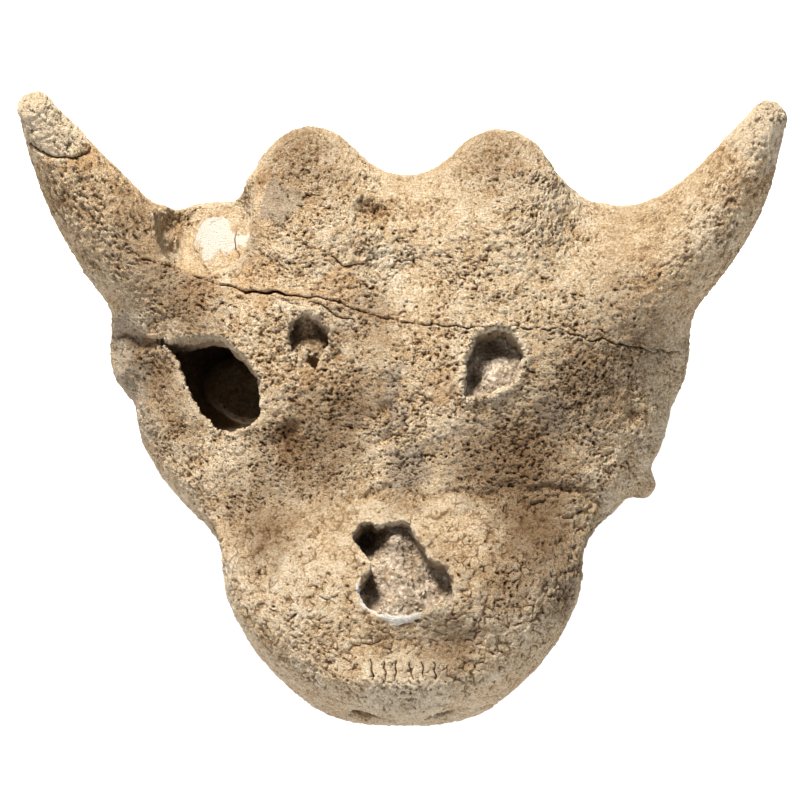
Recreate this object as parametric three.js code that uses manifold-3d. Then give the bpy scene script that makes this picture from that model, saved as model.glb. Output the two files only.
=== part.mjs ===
// Life-size fossil skull of the horned land turtle Meiolania platyceps, lying on its jaw edges and quadrates.
//
// Millimetres. x runs across the skull, y from the snout (negative) to the occiput (positive), and z up from
// the table. Left and right are the animal's own, so its right side is at negative x.
//
// The outer form is one loft of superelliptic sections, to which the knobs, the horns and the bones of the
// occiput are joined, and from which the orbits, nostrils, jaw-muscle chambers and breaks are cut. The whole
// skull is then parted along its cracks and at the roots of its horns, with a thin saw cut between the pieces.

import * as THREE from "three";
import { ParametricGeometry } from "three/addons/geometries/ParametricGeometry.js";
import { mergeVertices } from "three/addons/utils/BufferGeometryUtils.js";
import Module from "manifold-3d";

const wasm = await Module();
wasm.setup();

// ---------------------------------------------------------------- driving dimensions

const KERF = 0.3; // width of the cut between two pieces
const TABLE_Z = 0;

// Sections of the skull from the muzzle back: half width, height of the widest line, roof and base heights.
const SECTIONS = [
  { y: -96, half: 24, wide: 37, roof: 52, base: -3 }, // muzzle
  { y: -90, half: 31.5, wide: 38, roof: 57, base: -4 },
  { y: -83, half: 41, wide: 39, roof: 61, base: -4 },
  { y: -74, half: 50, wide: 40, roof: 65, base: -4 },
  { y: -62, half: 58, wide: 41, roof: 68.5, base: -3 },
  { y: -50, half: 63, wide: 42, roof: 70, base: 0 }, // dome of the snout
  { y: -38, half: 66.5, wide: 43, roof: 68.5, base: 5 }, // orbits
  { y: -27, half: 71.5, wide: 43, roof: 65.5, base: 11 }, // groove behind the snout
  { y: -14, half: 83, wide: 43, roof: 69, base: 15 },
  { y: 0, half: 91.5, wide: 43, roof: 76, base: 17 },
  { y: 14, half: 95, wide: 44, roof: 82.5, base: 17 }, // forehead
  { y: 30, half: 96, wide: 46, roof: 87.5, base: 15 },
  { y: 48, half: 95.5, wide: 49, roof: 91.5, base: 14 }, // flat of the roof
  { y: 66, half: 90, wide: 52, roof: 95, base: 16 },
  { y: 84, half: 80, wide: 54, roof: 97, base: 20 }, // back edge
];
const ROOF_POWER = 2.6; // roundness of a section above and below its widest line
const BASE_POWER = 3.2;
const MUZZLE_ROUND = { depth: 9, power: 2.4 };
const OCCIPUT_ROUND = { depth: 16, power: 2.8 };
const WALL = 9; // of bone round the jaw-muscle chambers

// Low humps and hollows of the roof: where in plan, their reach across and along, and their rise.
const ROOF_WAVES = [
  { at: [-55, -38], reach: [10, 9], rise: -2.6 }, // groove round the snout's dome
  { at: [-37, -29], reach: [12, 7], rise: -2 },
  { at: [42, -30], reach: [13, 8], rise: -2.6 },
  { at: [58, -41], reach: [9, 9], rise: -2.4 },
  { at: [-22, -52], reach: [17, 15], rise: 1.6 }, // dome
  { at: [24, -56], reach: [15, 13], rise: 1 },
  { at: [10, -77], reach: [23, 7], rise: -2.6 }, // hollow over the lip
  { at: [-10, -90], reach: [26, 6], rise: 1.6 },
  { at: [2, -4], reach: [8, 20], rise: 1.8 }, // ridge along the forehead
  { at: [-28, -4], reach: [14, 14], rise: -1.8 },
  { at: [40, -4], reach: [19, 15], rise: -2.2 },
  { at: [-40, 34], reach: [20, 10], rise: 1.4 }, // brows before the crack
  { at: [52, 40], reach: [22, 14], rise: 1.6 },
];

const NOSE_LIP = { at: [0.5, -83, 45], size: [21, 16, 11], power: 2.4 }; // overhangs the nostrils
const NOSTRIL = { at: [10.5, -99, 26], size: [8, 19, 7.5], power: 2.3 };
const ORBIT = { at: [74, -38, 38], size: [23, 14, 13], power: 2.2 };
const PALATE_VAULT = { at: [0, -50, -4], size: [36, 36, 17], power: 2.6 };
const CHOANA = { at: [9, -34, 14], size: [6, 13, 13], power: 2.2 };

const CHEEK_KNOB_LEFT = { at: [88.5, 31, 50], size: [12.5, 17, 17], power: 2.2 };
const CHEEK_KNOB_RIGHT = { at: [-92, 32, 50], size: [11.5, 17, 17], power: 2.2 };
const CHEEK_SPUR = { at: [84, -12.5, 36], size: [5.5, 5, 9], power: 2.2 }; // on the left cheek
const SQUAMOSAL = { at: [67, 65, 53], size: [21, 20.5, 21], power: 2.2 }; // shows past the roof's back edge
const EAR = { at: [99, 54, 34], size: [19, 12, 13], power: 2.2 };

const CHAMBER = { at: [61, 8, 42], size: [32, 30, 40], power: 4 }; // of the jaw muscles, inside the wall
const OTIC_BAR = { at: [43, 24, 34], size: [29, 14, 13], power: 2 };
const OTIC_DOME = { at: [58, 23, 39], size: [11.5, 11.5, 11], power: 2 }; // seen through the window
const FOSSA = { at: [52, -5, 12], size: [24, 16, 26], power: 3 }; // from the palate up into the chamber
const TEMPORAL_OPENING = { at: [44, 64, 65], size: [16, 38, 10], power: 2.8 }; // into it from behind

const OCCIPUT_HOLLOW = { at: [0, 97, 43], size: [67, 35, 39], power: 2.4 };
const FORAMEN = { at: [0, 62, 50], size: [6.5, 16, 7.5], power: 2 };
const CONDYLE = { at: [0, 66, 35], size: [9.5, 11, 7], power: 2.2 };
const NUCHAL_BLADE = { at: [0, 64, 70], size: [4, 18, 18], power: 2.6 };
const PAROCCIPITAL = { at: [38, 62, 48], size: [30, 9, 8.5], power: 2.4 };
const QUADRATE = { at: [62, 40, 8], size: [15, 10, 16], power: 2.4 };
const QUADRATE_ROOT_Z = 12;

// A horn is a tapering rod: points on its axis, and its radius at even steps from root to tip.
const HORN_LEFT = {
  axis: [[58, 38, 56], [90, 55.5, 76], [110.5, 72.5, 94], [126.5, 95.5, 121]],
  radii: [25.5, 21.5, 17.2, 12.2, 5.2],
};
const HORN_RIGHT = {
  axis: [[-62, 40, 58], [-94, 60, 76], [-112.5, 78.5, 96], [-127.5, 99, 121.5]],
  radii: [25, 21, 16.5, 11.5, 5.2],
};
const HORN_ROOT_LEFT = { at: [86, 54, 72], along: [0.66, 0.47, 0.58] };
const HORN_ROOT_RIGHT = { at: [-86, 56, 71], along: [-0.65, 0.5, 0.57] };
const HORN_CRACK = { at: [-115.5, 84.5, 103], along: [-0.42, 0.45, 0.79] }; // its tip is glued on

// The knobs on the roof's back edge, each pitched up at the back by some degrees.
const KNOB_LEFT = { at: [33.5, 60, 76], size: [25, 43, 22], power: 2.1, pitch: 32 };
const KNOB_RIGHT = { at: [-32, 60, 77], size: [25, 43.5, 22], power: 2.1, pitch: 32 };
const KNOB_ROOT = { at: [0, 64, 87], along: [0, 0.9, 0.44] };
const CREST = { at: [0, 68, 85], size: [44, 15, 12], power: 3 }; // joins them

// The roof broken away between the right knob and horn, which leaves a dish in the bone below.
const ROOF_BREAK = { at: [-69, 67.5, 92], size: [17, 20, 27], power: 2.4 };

// Outlines on the roof, in plan, each drawn through a few points.
const TEMPLE_WINDOW = [
  [-81, 26], [-66, 28.5], [-56, 24.5], [-50, 11.5], [-53, 0], [-62, -5], [-70, 2], [-77, 15],
];
const RIGHT_PIT = [[-39, 24], [-36, 31], [-29, 32.5], [-24.5, 26], [-27, 17], [-35, 16]];
const LEFT_PIT = [[23, 7], [23, 18], [28, 27], [35, 28.5], [40, 22], [39, 13], [31, 7]];
const SNOUT_HOLE = [
  [-16.5, -39], [-12, -36], [-4, -38], [3, -42], [10, -50], [16.5, -57], [14, -64], [3, -66],
  [-7, -66], [-13, -60], [-11, -52], [-15, -46],
];
const RIGHT_PIT_FLOOR_Z = 73;
const LEFT_PIT_FLOOR_Z = 70;
const LEFT_PIT_FILL_Z = 78;
const SNOUT_HOLE_FLOOR_Z = 50;
const SNOUT_FILL_Z = 62;
const FILL_GAP = 1; // between a filling and the hole's wall
const ABOVE_Z = 150;

// The crack that runs across the roof, from the right horn to the left cheek, in plan.
const ROOF_CRACK = [
  [-140, 52], [-82, 51], [-70, 49.5], [-56, 42], [-39, 39], [-25, 38], [-8, 31], [9, 29], [33, 28],
  [54, 27], [74, 22], [98, 20], [140, 20],
];
const CROWN_Z = 72; // the pieces behind the crack are parted from the braincase at this height
const BEHIND_Y = 140;
const TEMPLE_X = 34; // the cheek and temple beyond this are parted from the braincase
const SNOUT_ROOT = { at: [0, -26, 66], along: [0, -1, -0.12] }; // the snout parts from the face here

const BONE = new THREE.MeshStandardMaterial({ color: 0xb9a482, roughness: 0.9, metalness: 0 });
const HORN_BONE = new THREE.MeshStandardMaterial({ color: 0xb3a283, roughness: 0.88, metalness: 0 });
const SEDIMENT = new THREE.MeshStandardMaterial({ color: 0x9a8f82, roughness: 0.95, metalness: 0 });

// ---------------------------------------------------------------- solids from geometries

/** A closed three.js geometry as a manifold-3d solid, turned the right way out. */
function solid(geometry) {
  geometry.deleteAttribute("normal");
  geometry.deleteAttribute("uv");
  const merged = mergeVertices(geometry, 1e-3);
  const corners = [...merged.index.array];
  const triangles = [];
  for (let i = 0; i < corners.length; i += 3) {
    const [a, b, c] = corners.slice(i, i + 3);
    if (a !== b && b !== c && c !== a) triangles.push(a, b, c);
  }
  const build = (triVerts) =>
    new wasm.Manifold(
      new wasm.Mesh({
        numProp: 3,
        vertProperties: new Float32Array(merged.attributes.position.array),
        triVerts: new Uint32Array(triVerts),
      }),
    );
  const made = build(triangles);
  return made.volume() > 0 ? made : build(triangles.reverse());
}

/** A manifold-3d solid as a named mesh. */
function meshOf(name, made, material) {
  const { vertProperties, triVerts } = made.getMesh();
  const geometry = new THREE.BufferGeometry();
  geometry.setAttribute("position", new THREE.BufferAttribute(vertProperties, 3));
  geometry.setIndex(new THREE.BufferAttribute(triVerts, 1));
  geometry.computeVertexNormals();
  const mesh = new THREE.Mesh(geometry, material);
  mesh.name = name;
  return mesh;
}

const join = (...solids) => solids.reduce((all, one) => all.add(one));

const cut = (from, ...solids) => solids.reduce((left, one) => left.subtract(one), from);

/** The same form on the animal's right side. */
const mirrored = (form) => ({ ...form, at: [-form.at[0], form.at[1], form.at[2]] });

/** A superellipsoid: an ellipsoid at power 2, and squarer above it. */
function bulb({ at, size, power, pitch = 0 }, columns = 20, rows = 12) {
  const geometry = new THREE.SphereGeometry(1, columns, rows);
  const points = geometry.getAttribute("position");
  const point = new THREE.Vector3();
  for (let i = 0; i < points.count; i++) {
    point.fromBufferAttribute(points, i);
    const reach = point.toArray().reduce((sum, part) => sum + Math.abs(part) ** power, 0);
    point.multiplyScalar(reach ** (-1 / power));
    points.setXYZ(i, ...point.toArray());
  }
  geometry.scale(...size).rotateX(THREE.MathUtils.degToRad(pitch));
  return solid(geometry.translate(...at));
}

/** A prism that stands on an outline drawn smoothly through points in plan. */
function prism(outline, low, high, steps = 20) {
  const loop = outline.map(([x, y]) => new THREE.Vector3(x, y, 0));
  const curve = new THREE.CatmullRomCurve3(loop, true, "centripetal");
  const shape = new THREE.Shape(curve.getPoints(steps).map(({ x, y }) => new THREE.Vector2(x, y)));
  const geometry = new THREE.ExtrudeGeometry(shape, { depth: high - low, bevelEnabled: false });
  return solid(geometry.translate(0, 0, low));
}

/** An outline drawn in towards its own middle by a margin. */
function inset(outline, margin) {
  const points = outline.map(([x, y]) => new THREE.Vector2(x, y));
  const middle = points.reduce((sum, point) => sum.add(point), new THREE.Vector2()).divideScalar(points.length);
  return points.map((point) => {
    const away = point.sub(middle);
    away.setLength(away.length() - margin).add(middle);
    return away.toArray();
  });
}

/** A smooth function through values at rising places. */
function smooth(places, values) {
  const interpolant = new THREE.CubicInterpolant(places, values, 1);
  return (place) => interpolant.evaluate(place)[0];
}

const profile = (key) =>
  smooth(SECTIONS.map((section) => section.y), SECTIONS.map((section) => section[key]));

/** A tapering rod along a smooth axis: flat at its root, and rounded at its tip over the last rows. */
function taperedRod({ axis, radii }, sides = 14, rows = 12) {
  const roundRows = 3;
  const curve = new THREE.CatmullRomCurve3(axis.map((point) => new THREE.Vector3(...point)));
  const radius = smooth(radii.map((_, i) => i / (radii.length - 1)), radii);
  const tip = radii.at(-1) / curve.getLength();
  const onSurface = (u, v, target) => {
    const row = Math.round(v * rows);
    const turn = (Math.max(0, row - (rows - roundRows)) / roundRows) * (Math.PI / 2);
    const t = turn > 0 ? 1 - tip * (1 - Math.sin(turn)) : (row / (rows - roundRows)) * (1 - tip);
    const reach = row === 0 || row === rows ? 0 : radius(t) * Math.cos(turn);
    const along = curve.getTangentAt(Math.min(t, 1));
    const across = new THREE.Vector3(0, 0, 1).cross(along).normalize();
    const over = along.clone().cross(across);
    const started = row === 0 ? 0 : t;
    target.copy(curve.getPointAt(Math.min(started, 1)));
    target.addScaledVector(across, reach * Math.cos(u * 2 * Math.PI));
    target.addScaledVector(over, reach * Math.sin(u * 2 * Math.PI));
  };
  return solid(new ParametricGeometry(onSurface, sides, rows));
}

/** All that lies beyond a plane, as far as a big box reaches. */
function beyond({ at, along }, back = 0, reach = 400) {
  const facing = new THREE.Vector3(...along).normalize();
  const box = new THREE.BoxGeometry(reach, reach, reach).translate(0, 0, reach / 2 - back);
  box.applyQuaternion(new THREE.Quaternion().setFromUnitVectors(new THREE.Vector3(0, 0, 1), facing));
  return solid(box.translate(...at));
}

// ---------------------------------------------------------------- the skull in one piece

/** How far the roof's humps and hollows raise it at a place in plan. */
const swell = (x, y) =>
  ROOF_WAVES.reduce((sum, { at, reach, rise }) => {
    const far = ((x - at[0]) / reach[0]) ** 2 + ((y - at[1]) / reach[1]) ** 2;
    return sum + rise * Math.exp(-far);
  }, 0);

/** The form of sections lofted along y, drawn in by a margin and rounded off at both ends. */
function loft(margin, columns, rows, roofColumns = columns / 2) {
  const [half, wide, roof, base] = ["half", "wide", "roof", "base"].map(profile);
  const front = SECTIONS[0].y + margin;
  const back = SECTIONS.at(-1).y - margin;
  const rounding = (inside, { depth, power }) =>
    inside >= depth ? 1 : (1 - (1 - inside / depth) ** power) ** (1 / power);
  const bent = (part, power) => Math.sign(part) * Math.abs(part) ** (2 / power);
  const onSurface = (u, v, target) => {
    const closer = v - Math.sin(2 * Math.PI * v) / (2.5 * Math.PI); // rows lie closer at both ends
    const y = front + (back - front) * closer;
    const closed = v === 0 || v === 1;
    const round = closed ? 0 : rounding(y - front, MUZZLE_ROUND) * rounding(back - y, OCCIPUT_ROUND);
    const column = Math.round(u * columns);
    const baseColumns = columns - roofColumns;
    const turn = column <= roofColumns ? column / roofColumns : 1 + (column - roofColumns) / baseColumns;
    const across = Math.cos(turn * Math.PI);
    const up = column === roofColumns || column === columns ? 0 : Math.sin(turn * Math.PI);
    const power = up > 0 ? ROOF_POWER : BASE_POWER;
    const height = (up > 0 ? roof(y) - wide(y) : wide(y) - base(y)) - margin;
    const x = (half(y) - margin) * bent(across, power) * round;
    const waves = up > 0 && margin === 0 ? swell(x, y) * Math.sqrt(up) * round : 0;
    target.set(x, y, wide(y) + height * bent(up, power) * round + waves);
  };
  return solid(new ParametricGeometry(onSurface, columns, rows));
}

/** A form on the animal's left side and its twin on the right. */
const pair = (form, columns, rows) => [
  bulb(form, columns, rows),
  bulb(mirrored(form), columns, rows),
];

function wholeSkull() {
  const headed = join(
    loft(0, 28, 23, 19),
    bulb(NOSE_LIP, 14, 6),
    bulb(CREST, 14, 6),
    bulb(KNOB_LEFT, 16, 8),
    bulb(KNOB_RIGHT, 16, 8),
    bulb(CHEEK_KNOB_LEFT, 12, 6),
    bulb(CHEEK_KNOB_RIGHT, 12, 6),
    ...pair(SQUAMOSAL, 10, 6),
    taperedRod(HORN_LEFT),
    taperedRod(HORN_RIGHT),
  );
  const inside = loft(WALL, 14, 9);
  const hollowed = cut(
    headed,
    ...pair(CHAMBER, 10, 6).map((chamber) => chamber.intersect(inside)),
    ...pair(FOSSA, 10, 6),
    ...pair(TEMPORAL_OPENING, 10, 6),
    bulb(OCCIPUT_HOLLOW, 14, 8),
    bulb(PALATE_VAULT, 12, 6),
    ...pair(CHOANA, 8, 6),
    ...pair(NOSTRIL, 10, 6),
    ...pair(ORBIT, 12, 6),
    ...pair(EAR, 10, 6),
    bulb(ROOF_BREAK, 12, 8),
  );
  const boned = join(
    hollowed,
    bulb(CONDYLE, 10, 6),
    bulb(NUCHAL_BLADE, 10, 8),
    ...pair(PAROCCIPITAL, 10, 6),
    ...pair(QUADRATE, 10, 8),
    ...pair(OTIC_BAR, 10, 6),
    ...pair(OTIC_DOME, 10, 6),
    bulb(CHEEK_SPUR, 8, 6),
  );
  return cut(
    boned,
    bulb(FORAMEN, 10, 6),
    prism(TEMPLE_WINDOW, CHAMBER.at[2], ABOVE_Z, 16),
    prism(RIGHT_PIT, RIGHT_PIT_FLOOR_Z, ABOVE_Z, 12),
    prism(LEFT_PIT, LEFT_PIT_FLOOR_Z, ABOVE_Z, 14),
    prism(SNOUT_HOLE, SNOUT_HOLE_FLOOR_Z, ABOVE_Z, 20),
    beyond({ at: [0, 0, TABLE_Z], along: [0, 0, -1] }),
  );
}

/** Sediment that fills a hole in the roof from its floor up to a low dome. */
function filling(outline, floor, top) {
  const middle = new THREE.Box2().setFromPoints(outline.map(([x, y]) => new THREE.Vector2(x, y)));
  const [x, y] = middle.getCenter(new THREE.Vector2()).toArray();
  const dome = { at: [x, y, floor], size: [26, 26, top - floor], power: 2 };
  return prism(inset(outline, FILL_GAP), floor + KERF, top, 16).intersect(bulb(dome, 14, 10));
}

// ---------------------------------------------------------------- parting it into pieces

const skull = new THREE.Group();
let rest = wholeSkull();

/** Takes the piece in a region away from the rest; the region grown by the kerf leaves the cut. */
function partOff(name, region, grown, material) {
  skull.add(meshOf(name, rest.intersect(region), material));
  rest = rest.subtract(grown);
}

/** Takes away what lies beyond all of some planes. */
function partBeyond(name, planes, material) {
  const [region, grown] = [0, KERF].map((back) =>
    planes.map((plane) => beyond(plane, back)).reduce((all, one) => all.intersect(one)),
  );
  partOff(name, region, grown, material);
}

/** Everything behind the roof's crack, moved forward by some distance, down to a height. */
function behindCrack(forward, low) {
  const shape = new THREE.Shape();
  ROOF_CRACK.forEach(([x, y], i) => (i ? shape.lineTo(x, y - forward) : shape.moveTo(x, y - forward)));
  shape.lineTo(ROOF_CRACK.at(-1)[0], BEHIND_Y);
  shape.lineTo(ROOF_CRACK[0][0], BEHIND_Y);
  const geometry = new THREE.ExtrudeGeometry(shape, { depth: ABOVE_Z - low, bevelEnabled: false });
  return solid(geometry.translate(0, 0, low));
}

const leftOf = (x) => ({ at: [x, 0, 0], along: [1, 0, 0] });
const rightOf = (x) => ({ at: [x, 0, 0], along: [-1, 0, 0] });
const under = (z) => ({ at: [0, 0, z], along: [0, 0, -1] });
const over = (z) => ({ at: [0, 0, z], along: [0, 0, 1] });

partBeyond("horn_tip_right", [HORN_CRACK, rightOf(-80)], HORN_BONE);
partBeyond("horn_right", [HORN_ROOT_RIGHT, rightOf(-62)], HORN_BONE);
partBeyond("horn_left", [HORN_ROOT_LEFT, leftOf(62)], HORN_BONE);
partBeyond("snout", [SNOUT_ROOT], BONE);
partBeyond("knob_right", [KNOB_ROOT, over(CROWN_Z), rightOf(0)], BONE);
partBeyond("knob_left", [KNOB_ROOT, over(CROWN_Z), leftOf(0)], BONE);
partOff("crown", behindCrack(0, CROWN_Z), behindCrack(KERF, CROWN_Z - KERF), BONE);
partBeyond("quadrate_right", [under(QUADRATE_ROOT_Z), rightOf(40)], BONE);
partBeyond("quadrate_left", [under(QUADRATE_ROOT_Z), leftOf(40)], BONE);
partBeyond("temple_right", [rightOf(-TEMPLE_X)], BONE);
partBeyond("temple_left", [leftOf(TEMPLE_X)], BONE);

skull.add(meshOf("braincase", rest, BONE));
skull.add(meshOf("sediment_snout", filling(SNOUT_HOLE, SNOUT_HOLE_FLOOR_Z, SNOUT_FILL_Z), SEDIMENT));
skull.add(meshOf("sediment_roof", filling(LEFT_PIT, LEFT_PIT_FLOOR_Z, LEFT_PIT_FILL_Z), SEDIMENT));

// The origin goes to the middle of the skull's box, on the table.
const box = new THREE.Box3().setFromObject(skull);
skull.position.set(-(box.min.x + box.max.x) / 2, -(box.min.y + box.max.y) / 2, -box.min.z);

export default skull;
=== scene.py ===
# %% [markdown]
# # The fossil skull of a horned land turtle
# The skull is one rugged piece of bone, about 20 cm long: a domed snout, two horns like a bull's, two blunt
# knobs on the back edge of the roof, and holes where the roof and the snout broke in. It has been glued
# together from pieces, and lime sand still fills some of its holes.
#
# This lesson shapes it as a sculptor would, from soft forms that are joined and cut away, then lets
# Geometry Nodes weather the whole surface, and at last saws it into its named pieces.
#
# Lengths are in millimetres in the skull's own axes: x across it, with its right side at negative x, y from
# the snout to the back of the head, and z up from the table. They turn into metres when a mesh is made.

import math

import bmesh
import bpy
import numpy as np
import openvdb
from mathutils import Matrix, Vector
from mathutils.kdtree import KDTree


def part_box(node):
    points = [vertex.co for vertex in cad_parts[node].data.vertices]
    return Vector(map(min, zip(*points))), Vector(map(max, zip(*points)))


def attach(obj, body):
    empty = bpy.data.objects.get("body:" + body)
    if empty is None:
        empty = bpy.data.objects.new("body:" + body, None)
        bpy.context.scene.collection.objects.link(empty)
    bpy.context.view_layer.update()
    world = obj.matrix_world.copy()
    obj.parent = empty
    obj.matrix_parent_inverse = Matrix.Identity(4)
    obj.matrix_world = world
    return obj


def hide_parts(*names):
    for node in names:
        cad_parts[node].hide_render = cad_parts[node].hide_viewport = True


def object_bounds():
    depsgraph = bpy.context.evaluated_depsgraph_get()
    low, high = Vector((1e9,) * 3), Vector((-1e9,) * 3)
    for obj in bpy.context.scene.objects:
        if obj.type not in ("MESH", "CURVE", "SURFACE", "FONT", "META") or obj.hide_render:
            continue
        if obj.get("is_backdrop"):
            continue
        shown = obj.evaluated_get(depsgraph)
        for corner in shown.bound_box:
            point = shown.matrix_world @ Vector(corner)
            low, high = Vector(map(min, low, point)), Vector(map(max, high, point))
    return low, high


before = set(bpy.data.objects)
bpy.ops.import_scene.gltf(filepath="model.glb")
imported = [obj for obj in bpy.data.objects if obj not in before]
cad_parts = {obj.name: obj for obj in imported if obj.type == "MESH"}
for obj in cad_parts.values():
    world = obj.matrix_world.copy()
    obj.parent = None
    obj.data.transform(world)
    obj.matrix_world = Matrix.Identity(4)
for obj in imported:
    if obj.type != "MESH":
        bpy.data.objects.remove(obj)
solid_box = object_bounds()

MM = 0.001
SNOUT_FRONT = 99.0  # the lip over the nostrils lies this far in front of the skull's own origin
snout_low, snout_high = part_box("snout")
ORIGIN = np.array([(snout_low.x + snout_high.x) / 2 / MM, snout_low.y / MM + SNOUT_FRONT, 0.0])
print("the skull's own origin lies at", ORIGIN.round(2), "mm in the frame")


def to_frame(points):
    """Points in the skull's millimetres as metres in the frame."""
    return (np.asarray(points, float) + ORIGIN) * MM


# %% [markdown]
# ## The camera
# The camera looks down on the roof of the skull, tilted a little to the snout. A long lens from over a metre
# away keeps the horns, which stand nearer to it, from looking too big. It is set by the point it aims at, its
# distance and its elevation, so each of them can be changed alone.

# %% The camera
AIM = [-1.05, 10.6, 60.0]
DISTANCE = 1150.0
ELEVATION = math.radians(72.0)
FIELD = 280.0  # mm that the picture spans at the aim
SENSOR = 36.0

eye = np.array(AIM) + DISTANCE * np.array([0.0, -math.cos(ELEVATION), math.sin(ELEVATION)])
camera_data = bpy.data.cameras.new("camera")
camera_data.sensor_width = SENSOR
camera_data.lens = SENSOR * DISTANCE / FIELD
camera = bpy.data.objects.new("camera", camera_data)
bpy.context.scene.collection.objects.link(camera)
camera.location = to_frame(eye)
camera.rotation_euler = (math.pi / 2 - ELEVATION, 0.0, 0.0)
bpy.context.scene.camera = camera
print("the lens is", round(camera_data.lens, 1), "mm long")

# %% [markdown]
# ## Floor and light
# The skull lies on a white table that is lit from below, as for a catalogue, so its outline stays free of hard
# shadows and the sides of the horns catch some light. The key lamp stands behind the skull, a little to its
# right, and rakes over the roof, so that every pore casts a shadow. Two weak lamps lift the front and side.

# %% Floor and light
FLOOR_SIZE = 6.0  # m
GLOW = 0.95  # of the table, which is lit from below
TABLE = 0.35  # how much of the lamps' light the table throws back
LAMPS = {
    # degrees from the back of the head towards its right, degrees up, size in m, power, colour
    "key": (24, 46, 0.2, 44.0, (1.0, 0.96, 0.89)),
    "front_fill": (150, 14, 0.8, 13.0, (0.97, 0.97, 1.0)),
    "side_fill": (-105, 14, 0.8, 8.0, (0.94, 0.97, 1.0)),
}
LAMP_DISTANCE = 1150.0
SKY = (0.95, 0.97, 1.0)
SKY_STRENGTH = 0.2


def shader_material(name):
    """A new material, its node tree, and its Principled shader."""
    material = bpy.data.materials.new(name)
    material.use_nodes = True
    tree = material.node_tree
    return material, tree, tree.nodes["Principled BSDF"]


def lamp(name, turn, rise, size, power, colour):
    """A square area lamp that faces the skull."""
    data = bpy.data.lights.new(name, "AREA")
    data.size, data.energy, data.color = size, power, colour
    made = bpy.data.objects.new(name, data)
    bpy.context.scene.collection.objects.link(made)
    turn, rise = math.radians(turn), math.radians(rise)
    level = math.cos(rise)
    away = np.array([-math.sin(turn) * level, math.cos(turn) * level, math.sin(rise)])
    made.location = to_frame(np.array(AIM) + LAMP_DISTANCE * away)
    facing = Vector(to_frame(AIM)) - made.location
    made.rotation_euler = facing.to_track_quat("-Z", "Y").to_euler()
    return made


for name, settings in LAMPS.items():
    lamp(name, *settings)

world = bpy.data.worlds.new("studio")
bpy.context.scene.world = world
world.use_nodes = True
world.node_tree.nodes["Background"].inputs["Color"].default_value = (*SKY, 1.0)
world.node_tree.nodes["Background"].inputs["Strength"].default_value = SKY_STRENGTH
bpy.context.scene.view_settings.view_transform = "Standard"

half_floor = FLOOR_SIZE / 2
floor_mesh = bpy.data.meshes.new("floor")
floor_mesh.from_pydata(
    [(x * half_floor, y * half_floor, 0.0) for x, y in ((-1, -1), (1, -1), (1, 1), (-1, 1))],
    [],
    [(0, 1, 2, 3)],
)
floor = bpy.data.objects.new("floor", floor_mesh)
bpy.context.scene.collection.objects.link(floor)
table_white, _, table_shader = shader_material("table_white")
table_shader.inputs["Base Color"].default_value = (TABLE, TABLE, TABLE, 1.0)
table_shader.inputs["Roughness"].default_value = 0.8
table_shader.inputs["Emission Color"].default_value = (1.0, 1.0, 1.0, 1.0)
table_shader.inputs["Emission Strength"].default_value = GLOW
floor_mesh.materials.append(table_white)
floor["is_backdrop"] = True

# %% [markdown]
# ## Forms as depth functions
# Bone has no flat faces and no sharp joins, so it is awkward to build from boxes and extrusions. It could be
# sculpted by hand, or made from metaballs. Here each form is a function instead: it tells how far a point
# lies outside its surface, in millimetres, with a minus sign inside. Two such functions join with a soft
# fillet where the lesser of them is taken smoothly, and one cuts the other in the same way.

# %% Soft joins and cuts
def soft_join(one, other, blend):
    """The union of two depths, with a fillet of about the blend's size."""
    share = np.clip(0.5 + 0.5 * (other - one) / blend, 0.0, 1.0)
    return other + (one - other) * share - blend * share * (1.0 - share)


def soft_cut(one, other, blend):
    """The first depth with the other cut away."""
    return -soft_join(-one, other, blend)


class Form:
    """A depth function and the box outside which it has no effect."""

    def __init__(self, depth, low, high):
        self.depth = depth
        self.low = np.array(low, np.float32)
        self.high = np.array(high, np.float32)

    def near(self, points, margin):
        inside = (points > self.low - margin) & (points < self.high + margin)
        return np.flatnonzero(inside.all(1))


def joined(depth, points, form, blend):
    near = form.near(points, 1.3 * blend + 4.0)
    depth[near] = soft_join(depth[near], form.depth(points[near]), blend)


def cut_away(depth, points, form, blend):
    near = form.near(points, 1.3 * blend + 4.0)
    depth[near] = soft_cut(depth[near], form.depth(points[near]), blend)


# %% [markdown]
# ### Bulbs
# Most lumps and hollows are bulbs: an ellipsoid at power 2, and squarer above it. Its depth is the reach of
# the point in the bulb's own measure, less one, divided by how fast that reach grows there, which turns it
# into millimetres near the surface.

# %% Bulbs
def turned(pitch=0.0, yaw=0.0):
    """The rotation by a pitch about x, then a yaw about z, in degrees."""
    p, y = math.radians(pitch), math.radians(yaw)
    tilt = np.array([[1, 0, 0], [0, math.cos(p), -math.sin(p)], [0, math.sin(p), math.cos(p)]])
    swing = np.array([[math.cos(y), -math.sin(y), 0], [math.sin(y), math.cos(y), 0], [0, 0, 1]])
    return (swing @ tilt).astype(np.float32)


def bulb(at, size, power=2.0, pitch=0.0, yaw=0.0):
    centre = np.array(at, np.float32)
    radii = np.array(size, np.float32)
    turn = turned(pitch, yaw)
    exponent = np.float32(power)

    def depth(points):
        parts = np.abs((points - centre) @ turn) / radii + np.float32(1e-5)
        reach = (parts**exponent).sum(1) ** (1 / exponent)
        growth = (((parts / reach[:, None]) ** (exponent - 1) / radii) ** 2).sum(1) ** 0.5
        return (reach - 1) / growth

    box = np.abs(turn) @ radii
    return Form(depth, centre - box, centre + box)


def mirrored(at):
    """The same place on the skull's right side."""
    return [-at[0], *at[1:]]


def pair(at, size, power=2.0, pitch=0.0, yaw=0.0):
    """A bulb on the left and its twin on the right."""
    return [bulb(at, size, power, pitch, yaw), bulb(mirrored(at), size, power, pitch, -yaw)]


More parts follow.
